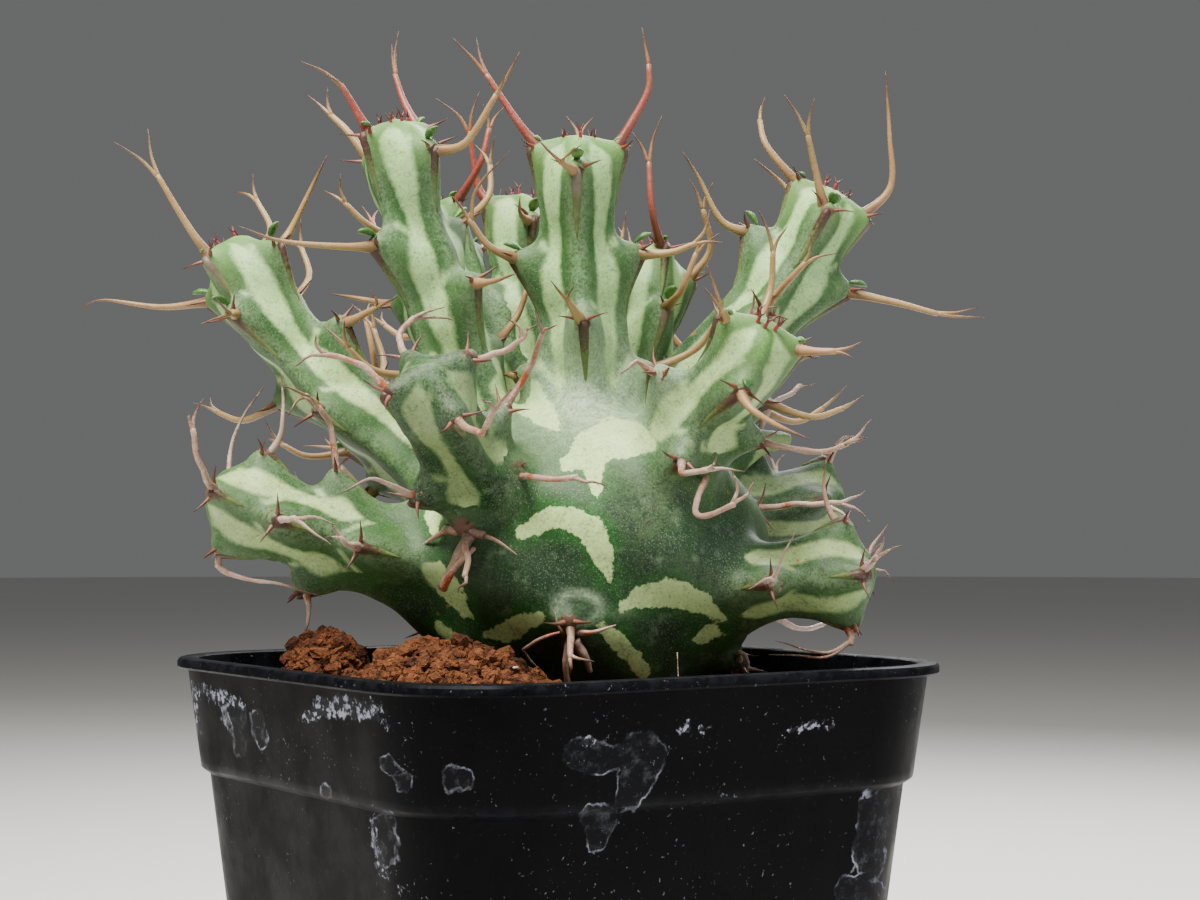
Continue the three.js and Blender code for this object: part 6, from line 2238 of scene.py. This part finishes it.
@dataclass
class Leaves:
    """Small fleshy leaves above the shields near the arms' tips, copied from one modelled leaf."""

    plant: Plant
    length: float = 3.5
    half_width: float = 0.95
    leaf_half_width: float = 0.25
    thickness: float = 0.9
    small_length: float = 0.55
    small_width: float = 0.7
    sunk: tuple = (1.3, 1.1)
    vary: tuple = (0.85, 1.1)
    rings: tuple = ((0.2, 0.0, 1.9), (0.25, 0.04, 1.12), (0.2, 0.12, 0.66), (0.12, 0.14, 0.3))
    flat: float = 0.55
    seed: int = 31

    def leaf(self) -> bpy.types.Object:
        """Models one leaf, a unit long, with its base at the origin and its tip along Y."""
        shape_alone()
        bpy.ops.mesh.primitive_cylinder_add(vertices=8, radius=0.12, depth=0.2, location=(0, 0.1, 0),
                                            rotation=(-math.pi / 2, 0, 0))
        leaf = bpy.context.object
        bpy.ops.object.transform_apply(location=True, rotation=True, scale=True)
        bpy.ops.object.mode_set(mode="EDIT")
        select_faces(leaf, lambda face: face.normal.y > FACING)
        for rise, lift, widen in self.rings:
            bpy.ops.mesh.extrude_region_move(TRANSFORM_OT_translate={"value": (0, rise, lift)})
            bpy.ops.transform.resize(value=(widen, 1, widen))
        bpy.ops.mesh.select_all(action="SELECT")
        bpy.ops.transform.resize(value=(1, 1, self.flat), center_override=(0, 0, 0))
        bpy.ops.object.mode_set(mode="OBJECT")
        return leaf

    def build(self) -> None:
        """Copies the leaf to every young shield."""
        stamp = Stamp(self.leaf())
        draw = np.random.default_rng(self.seed)
        inward, above = self.sunk
        for knob in self.plant.tubercles:
            small = knob.level == 0
            if knob.age is Age.OLD or not (knob.leafy or small):
                continue
            size = self.length * (self.small_length if small else 1) * draw.uniform(*self.vary)
            ahead = unit(knob.up * 0.6 + knob.outward * (0.7 + draw.uniform(0, 0.4)))
            side = unit(np.cross(ahead, knob.outward))
            over = np.cross(side, ahead)
            foot = knob.centre + knob.up * above - knob.outward * inward
            width = (self.half_width / self.leaf_half_width * draw.uniform(*self.vary)
                     * (self.small_width if small else 1))
            axes = np.stack([side * width, ahead * size, over * width * self.thickness])
            stamp.add(foot, axes, float(draw.uniform(0, 1)))
        stamp.build("leaves", FleshyLeaf(), "arms")


# ---------------------------------------------------------------- pot and soil


@dataclass
class NurseryPot:
    """The square nursery pot, raised from its foot ring by ring, with drain holes and stains."""

    height: float = 80
    lip_half: float = 45
    band_top_half: float = 43.7
    band_foot: float = 64
    foot_half: float = 34
    step_in: float = 1.1
    wall: float = 1.3
    floor: float = 2
    foot_corner: float = 13
    corner_segments: int = 9
    side_cuts: int = 40
    side_length: float = 20
    crease: float = 38
    drain_radius: float = 4
    drain_reach: float = 21
    drain_sides: int = 32
    # widths of the scuffs and painted highlight at the rim and the band's foot
    rim_wear: float = 1.2
    step_wear: float = 0.8
    step_wear_share: float = 0.6
    taper: float = (band_top_half - step_in - foot_half) / height

    @property
    def band_foot_half(self) -> float:
        """Half the band's width at its foot."""
        return self.band_top_half - self.taper * (self.height - self.band_foot)

    @property
    def lower_top_half(self) -> float:
        """Half the width just under the band."""
        return self.band_foot_half - self.step_in

    @staticmethod
    def slope(halves: tuple[float, float], levels: tuple[float, float], count: int) -> list[tuple]:
        """Rings at even steps up a straight stretch of wall, by its half widths and heights at both ends."""
        high = np.linspace(*levels, count)
        return list(zip(np.interp(high, levels, halves).tolist(), high.tolist()))

    def rings(self) -> list[tuple[float, float]]:
        """Half width and height of each ring, up the outside and down the inside."""
        rim, band, lip = self.height, self.band_foot, self.lip_half
        inner_top = self.band_top_half - self.wall
        return [(self.foot_half - 0.3, 0.4),
                *self.slope((self.foot_half, self.lower_top_half), (1.2, band - 1), 50),
                (self.band_foot_half - 0.25, band - 0.3),
                *self.slope((self.band_foot_half, self.band_top_half), (band, rim - 1.6), 15),
                (lip - 0.3, rim - 1.6), (lip, rim - 1.3), (lip, rim - 0.5), (lip - 0.25, rim - 0.12),
                (lip - 0.7, rim), (inner_top + 0.5, rim), (inner_top + 0.1, rim - 0.25),
                (inner_top, rim - 0.8), (self.band_foot_half - self.wall, band),
                (self.lower_top_half - self.wall, band - 1.6), (self.foot_half - self.wall, self.floor)]

    def raise_walls(self) -> bpy.types.Object:
        """Extrudes the walls from a plane with rounded corners."""
        start = self.foot_half - 1
        shape_alone()
        bpy.ops.mesh.primitive_plane_add(size=2 * start * MM, location=(0, 0, 0))
        pot = bpy.context.object
        pot.name = "nursery_pot"
        bpy.ops.object.mode_set(mode="EDIT")
        bpy.ops.mesh.select_all(action="SELECT")
        bpy.ops.mesh.bevel(offset=self.foot_corner * MM, segments=self.corner_segments, affect="VERTICES")
        select_edges(pot, lambda a, b: (a - b).length > self.side_length * MM)
        bpy.ops.mesh.subdivide(number_cuts=self.side_cuts)
        bpy.ops.mesh.select_mode(type="FACE")
        bpy.ops.mesh.select_all(action="SELECT")
        half, level = start, 0.0
        for next_half, next_level in self.rings():
            bpy.ops.mesh.extrude_region_move(
                TRANSFORM_OT_translate={"value": (0, 0, (next_level - level) * MM)})
            bpy.ops.transform.resize(value=(next_half / half, next_half / half, 1),
                                     center_override=(0, 0, next_level * MM))
            half, level = next_half, next_level
        bpy.ops.mesh.select_all(action="SELECT")
        bpy.ops.mesh.normals_make_consistent(inside=False)
        bpy.ops.object.mode_set(mode="OBJECT")
        return pot

    def drill(self, pot: bpy.types.Object) -> None:
        """Cuts the four drain holes."""
        for x, y in ((-1, -1), (1, -1), (1, 1), (-1, 1)):
            shape_alone()
            bpy.ops.mesh.primitive_cylinder_add(
                vertices=self.drain_sides, radius=self.drain_radius * MM, depth=self.floor * 3 * MM,
                location=(x * self.drain_reach * MM, y * self.drain_reach * MM, self.floor / 2 * MM))
            drill = bpy.context.object
            shape_alone(pot)
            cut = pot.modifiers.new("drain", "BOOLEAN")
            cut.operation, cut.solver, cut.object = "DIFFERENCE", "EXACT", drill
            bpy.ops.object.modifier_apply(modifier=cut.name)
            bpy.data.objects.remove(drill)

    def build(self) -> None:
        """Models and dresses the pot."""
        pot = self.raise_walls()
        self.drill(pot)
        shape_alone(pot)
        bpy.ops.object.shade_smooth_by_angle(angle=math.radians(self.crease))
        points = np.array([vertex.co[:] for vertex in pot.data.vertices])
        set_values(pot, {**Stains().measure(points), "worn": self.worn(points)})
        hand_over(pot, StainedPlastic(), ["pot"])

    def worn(self, points: Points) -> Points:
        """How much the rim and the band's foot are scuffed, with a painted highlight along both edges."""
        high = points[:, 2] / MM
        return np.maximum(
            np.exp(-((high - self.height) / self.rim_wear) ** 2),
            self.step_wear_share * np.exp(-((high - self.band_foot) / self.step_wear) ** 2))


@dataclass(frozen=True)
class Stains:
    """White mineral stains on the pot, as they show from the front: stops of column, row and half width.

    Drips and rings are filled shapes of which mostly the edge has dried white; crusts are beaded bands.
    """

    drips: tuple = (
        ((236, 709, 1.7), (243, 749, 0.6)), ((259, 714, 0.9), (262, 743, 0.8)),
        ((407, 776, 1.1), (407, 784, 1.1)), ((327, 788, 0.8), (327, 792, 0.8)),
        ((386, 760, 1.0), (390, 766, 1.0)), ((457, 774, 2.1), (458, 782, 2.0)),
        ((384, 822, 1.6), (391, 856, 1.3)), ((580, 753, 2.4), (602, 757, 2.5)),
        ((643, 753, 3.4), (632, 794, 2.0)), ((598, 819, 2.5), (596, 843, 0.9)),
        ((873, 800, 2.0), (868, 856, 2.2)), ((907, 797, 0.7), (900, 872, 0.9)),
        ((848, 889, 2.2), (868, 894, 2.4)),
    )
    crusts: tuple = (
        ((188, 684, 0.6), (215, 694, 0.9), (243, 702, 0.7)), ((190, 690, 0.7), (199, 730, 0.5)),
        ((309, 716, 0.7), (322, 706, 1.3), (350, 707, 1.6), (376, 709, 1.3), (390, 725, 0.5)),
        ((370, 797, 0.0), (382, 868, 0.1), (409, 893, 0.5)), ((210, 803, 0.1), (222, 882, 0.2)),
        ((440, 825, 0.0), (470, 829, 0.2), (493, 821, 0.0)),
        ((563, 750, 0.2), (588, 741, 0.5), (616, 738, 0.3)), ((680, 729, 0.3), (688, 722, 0.4)),
        ((702, 731, 0.3), (708, 723, 0.3)), ((778, 733, 0.3), (800, 726, 0.5), (828, 723, 0.3)),
        ((455, 805, 0.3), (470, 808, 0.4)),
    )
    outside: float = -9.0
    corner: float = 6.0
    floor_half: float = 31.0
    unseen: int = 26
    seed: int = 37

    def measure(self, points: Points) -> dict[str, Points]:
        """How far inside a drip and a crust the pot's points lie, in millimetres."""
        wide = np.abs(points[:, :2]).max(1)
        walls = (points[:, :2] < 0) & (np.abs(points[:, :2]) >= wide[:, None] - self.corner * MM)
        facing = walls.any(1) & (wide > self.floor_half * MM)
        values = {name: np.full(len(points), self.outside) for name in ("stain", "crust")}
        for depth, marks in zip(values.values(), (self.drips, self.crusts)):
            depth[facing] = inside_marks(PLANT.from_world(points[facing]), marks, self.outside)
        draw = random.Random(self.seed)
        for index in range(self.unseen):
            across, high = draw.uniform(-30, 30), draw.uniform(14, 78)
            low, sway = high - draw.uniform(3, 16), draw.uniform(-3, 3)
            ends = []
            for step, level in ((0, high), (sway, low)):
                wall = NurseryPot.foot_half + NurseryPot.taper * level
                ends.append((wall, across + step, level) if index % 2 else (across + step, wall, level))
            crusted = index % 4 > 1
            halves = (0.7, 0.4) if crusted else (draw.uniform(1.0, 2.8), draw.uniform(0.7, 2.2))
            depth = values["crust" if crusted else "stain"]
            inside = -distance_to_line(points[~facing] / MM, np.array(ends), halves)
            depth[~facing] = np.maximum(depth[~facing], inside)
        return values


@dataclass
class PottingSoil:
    """The soil: a bed with heaps, covered in crumbs, with dry bits and a fibre."""

    pot: NurseryPot
    depth: float = 9
    heaps: tuple = ((-28, -18, 12.5, 20), (-33, 7, 13.5, 9))
    clearance: float = 0.3
    corner: float = 14.5
    bed_cells: int = 76
    bed_sunk: float = 0.8
    bed_rough: float = 0.35
    skirt: float = 9
    skirt_taper: float = 0.9
    coarse_crumbs: int = 320
    coarse_on_heaps: int = 50
    coarse_spread: float = 1.4
    coarse_size: float = 1.5
    crumbs: int = 5400
    heap_share: float = 0.45
    near_heap_share: float = 0.75
    reach: float = 42
    bit_size: tuple = (2.6, 1.3, 0.5)
    small_bit_size: tuple = (1.6, 1.0, 0.5)
    small_bits: int = 60
    bits_seen: tuple = ((384, 626), (392, 632), (400, 636), (396, 628), (702, 664), (712, 668), (718, 660))
    fibre_line: tuple = ((17.4, -28, -10), (17.8, -28, -4), (17.6, -28, 2.4))
    seed: int = 43

    @property
    def level(self) -> float:
        """How high the flat soil lies, in millimetres."""
        return self.pot.height - self.depth

    @property
    def edge_half(self) -> float:
        """Half the width of the bed at its surface."""
        return (self.pot.band_foot_half - self.pot.wall - self.clearance
                + self.pot.taper * (self.level - self.pot.band_foot))

    def height(self, x: Points, y: Points) -> Points:
        """How high the soil lies, in millimetres."""
        rises = [rise * np.maximum(0, 1 - ((x - heap_x) ** 2 + (y - heap_y) ** 2) / radius ** 2)
                 for heap_x, heap_y, rise, radius in self.heaps]
        return self.level + np.maximum(*rises)

    def inside(self, x: Points, y: Points, margin: float) -> Points:
        """Whether places lie inside the pot's rounded walls."""
        half = self.edge_half - margin
        corner = self.corner - margin
        over = np.hypot(np.maximum(np.abs(x) - half + corner, 0), np.maximum(np.abs(y) - half + corner, 0))
        return over < corner

    def bed(self) -> None:
        """The bed: a grid cut to a rounded square, with a skirt below it, lifted to the heaps."""
        shape_alone()
        bpy.ops.mesh.primitive_grid_add(x_subdivisions=self.bed_cells, y_subdivisions=self.bed_cells,
                                        size=2 * self.edge_half * MM, location=(0, 0, self.level * MM))
        bed = bpy.context.object
        bed.name = "soil_bed"
        bpy.ops.object.transform_apply(location=True, rotation=True, scale=True)
        bpy.ops.object.mode_set(mode="EDIT")
        select_faces(bed, lambda face: not self.inside(face.center.x / MM, face.center.y / MM, 0))
        bpy.ops.mesh.delete(type="FACE")
        bpy.ops.mesh.select_all(action="SELECT")
        bpy.ops.mesh.extrude_region_move(TRANSFORM_OT_translate={"value": (0, 0, -self.skirt * MM)})
        bpy.ops.transform.resize(value=(self.skirt_taper, self.skirt_taper, 1))
        bpy.ops.mesh.select_all(action="SELECT")
        bpy.ops.mesh.normals_make_consistent(inside=False)
        bpy.ops.object.mode_set(mode="OBJECT")
        draw = np.random.default_rng(self.seed)
        points = np.array([vertex.co[:] for vertex in bed.data.vertices])
        top = points[:, 2] > (self.level - 1) * MM
        x, y = points[top, 0] / MM, points[top, 1] / MM
        points[top, 2] = (self.height(x, y) - self.bed_sunk + draw.normal(0, self.bed_rough, top.sum())) * MM
        bed.data.vertices.foreach_set("co", points.ravel())
        bed.data.shade_smooth()
        set_values(bed, {"tone": draw.uniform(0, 0.6, len(points))})
        hand_over(bed, GrittySoil(), ["soil"])

    def crumb(self, size: tuple, rough: float, seed: int) -> bpy.types.Object:
        """Models one rugged crumb, about a unit across."""
        shape_alone()
        bpy.ops.mesh.primitive_cube_add(size=0.8)
        crumb = bpy.context.object
        bpy.ops.object.mode_set(mode="EDIT")
        bpy.ops.mesh.select_all(action="SELECT")
        bpy.ops.mesh.subdivide(number_cuts=1, smoothness=0.8)
        bpy.ops.transform.vertex_random(offset=rough, seed=seed)
        bpy.ops.transform.resize(value=size)
        bpy.ops.object.mode_set(mode="OBJECT")
        return crumb

    def coarse(self) -> list[tuple[float, float, float]]:
        """The places and radii of the coarse crumbs, the first of them on the heaps."""
        draw = random_stream(self.seed)
        found = []
        for index in range(self.coarse_crumbs):
            if index < self.coarse_on_heaps:
                heap_x, heap_y, _, radius = self.heaps[1 if index % 3 == 2 else 0]
                x = heap_x + (draw() - 0.5) * radius * self.coarse_spread
                y = heap_y + (draw() - 0.5) * radius * self.coarse_spread
            else:
                x, y = ((draw() - 0.5) * 2 * self.edge_half for _ in range(2))
            size = self.coarse_size * (0.7 + 0.5 * draw())
            draw()
            if self.inside(x, y, size + 1):
                found.append((x, y, size))
        return found

    def scatter(self) -> None:
        """Covers the bed and the heaps in crumbs."""
        draw = np.random.default_rng(self.seed + 1)
        stamps = [Stamp(self.crumb((1, 1, 0.8), 0.2, 3)), Stamp(self.crumb((1.2, 0.9, 0.6), 0.24, 8))]
        for index, (x, y, size) in enumerate(self.coarse()):
            rows = self.tumble(draw)
            place = np.array([x, y, float(self.height(x, y)) + size * 0.2])
            stamps[index % 2].add(place, rows * size * 1.5, float(draw.uniform()))
        placed = 0
        while placed < self.crumbs:
            if draw.uniform() < self.heap_share:
                heap = self.heaps[0] if draw.uniform() < self.near_heap_share else self.heaps[1]
                x, y = draw.normal(heap[:2], heap[3] * 0.5)
                size = 0.6 + 1.7 * draw.beta(1.3, 3.4)
            else:
                x, y = draw.uniform(-self.reach, self.reach, 2)
                size = 0.8 + 1.6 * draw.beta(1.6, 3.2)
            if not self.inside(x, y, size * 0.6):
                continue
            rows = self.tumble(draw)
            place = np.array([x, y, float(self.height(x, y)) - 0.5 + draw.uniform(-0.3, 0.55)])
            stamps[placed % 2].add(place, rows * size * draw.uniform(0.8, 1.2, (3, 1)), float(draw.uniform()))
            placed += 1
        for index, stamp in enumerate(stamps):
            stamp.build(f"soil_crumbs_{index + 1}", GrittySoil(), "soil", smooth=False)

    @staticmethod
    def tumble(draw: np.random.Generator) -> Points:
        """Three axes square to each other, turned any way."""
        rows = unit(draw.normal(0, 1, (3, 3)))
        rows[1] = unit(rows[1] - rows[0] * (rows[1] @ rows[0]))
        rows[2] = np.cross(rows[0], rows[1])
        return rows

    def fibre(self) -> None:
        """A thin dry fibre that stands in the soil in front of the plant."""
        tubes = Tubes(5)
        rows = 8
        tubes.add(curve_through(np.array(self.fibre_line), rows), np.linspace(0.12, 0.05, rows), (0, 1))
        tubes.build("fibre", DryDebris(), "soil")

    def litter(self) -> None:
        """Dry pale bits that lie on the soil: those that the front shows, and some more anywhere."""
        draw = np.random.default_rng(self.seed + 2)
        stamp = Stamp(self.crumb((1, 1, 0.7), 0.12, 12))
        for pixel in self.bits_seen:
            spot = PLANT.seen((*PLANT.of_pixel(*pixel), -30))[0]
            world = PLANT.to_world(np.array([spot]))[0] / MM
            for _ in range(3):
                x, y = world[:2] * 0.92 + draw.normal(0, 1.3, 2)
                if self.inside(x, y, 1):
                    self.lay(stamp, x, y, draw, self.bit_size)
        for _ in range(self.small_bits):
            x, y = draw.uniform(-40, 40, 2)
            if self.inside(x, y, 1.5):
                self.lay(stamp, x, y, draw, self.small_bit_size)
        stamp.build("dry_bits", DryDebris(), "soil")

    def lay(self, stamp: Stamp, x: float, y: float, draw: np.random.Generator, size: tuple) -> None:
        """Lays one bit flat on the soil."""
        turn = draw.uniform(0, math.tau)
        axes = np.array([[math.cos(turn), math.sin(turn), 0.1], [-math.sin(turn), math.cos(turn), 0.15],
                         [0, 0, 1]]) * np.array(size)[:, None]
        stamp.add(np.array([x, y, float(self.height(x, y)) + 0.5]), axes, float(draw.uniform()))

    def build(self) -> None:
        """Makes the bed, the crumbs, the litter and the fibre."""
        self.bed()
        self.scatter()
        self.litter()
        self.fibre()


# ---------------------------------------------------------------- studio


@dataclass(frozen=True)
class Studio:
    """The floor, the soft lights and the camera."""

    floor_size: float = 9.0
    floor_sides: int = 96
    lights: tuple = (
        ("key", (-120, -210, 500), 0.3, 11.5, "#fffaf2"),
        ("fill", (420, -220, 200), 0.5, 1.2, "#f2f6ff"),
        ("back", (160, 380, 380), 0.4, 4.5, "#ffffff"),
    )
    aim: tuple = (4, 0, 20)
    world: str = "#dcdddd"
    world_strength: float = 0.2
    lens: float = 64.2
    sensor: float = 36
    nearest: float = 0.01
    pitch: float = 2.2

    def floor(self) -> None:
        """Lays the pale floor just under the pot."""
        shape_alone()
        bpy.ops.mesh.primitive_circle_add(vertices=self.floor_sides, radius=self.floor_size / 2,
                                          fill_type="NGON", location=(0, 0, 0))
        floor = bpy.context.object
        floor.name = "studio_floor"
        floor.data.materials.append(StudioPaper().material())

    def light(self, name: str, place: Sequence, size: float, power: float, tint: str) -> None:
        """Hangs a square soft light that points at the plant.

        Args:
            name: The light's name.
            place: Its place in the plant's frame, in millimetres.
            size: Its side, in metres.
            power: Its power, in watts.
            tint: Its colour.
        """
        lamp = bpy.data.lights.new(name, "AREA")
        lamp.size, lamp.energy, lamp.color = size, power, colour_of(tint)[:3]
        holder = bpy.data.objects.new(name, lamp)
        holder.location = PLANT.to_world(np.array([place]))[0]
        aim = Vector(PLANT.to_world(np.array([self.aim]))[0])
        holder.rotation_euler = (aim - holder.location).to_track_quat("-Z", "Y").to_euler()
        bpy.context.scene.collection.objects.link(holder)

    def camera(self) -> None:
        """Sets up the camera where the photograph was taken from."""
        lens = bpy.data.cameras.new("photo_view")
        lens.lens, lens.sensor_width, lens.sensor_fit = self.lens, self.sensor, "HORIZONTAL"
        lens.clip_start = self.nearest
        holder = bpy.data.objects.new("photo_view", lens)
        holder.location = PLANT.to_world(np.array([PLANT.eye]))[0]
        holder.rotation_euler = (math.radians(90 + self.pitch), 0, PLANT.turn)
        bpy.context.scene.collection.objects.link(holder)
        bpy.context.scene.camera = holder

    def build(self) -> None:
        """Sets the stage."""
        self.floor()
        for lamp in self.lights:
            self.light(*lamp)
        world = bpy.data.worlds.new("studio")
        world.use_nodes = True
        sky = world.node_tree.nodes["Background"].inputs
        sky["Color"].default_value = colour_of(self.world)
        sky["Strength"].default_value = self.world_strength
        bpy.context.scene.world = world
        self.camera()


def main() -> None:
    """Builds the stage, the pot, the soil and the plant."""
    logging.basicConfig(level=logging.INFO, format="%(message)s")
    Studio().build()
    pot = NurseryPot()
    pot.build()
    PottingSoil(pot).build()
    plant = Plant()
    LOG.info("the plant has %d tubercles", len(plant.tubercles))
    for part in (PlantSkin(plant), Spines(plant), Ridges(plant), Shields(plant), Prickles(plant),
                 Leaves(plant)):
        part.build()
    shape_alone()
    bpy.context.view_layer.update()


if __name__ == "__main__":
    main()
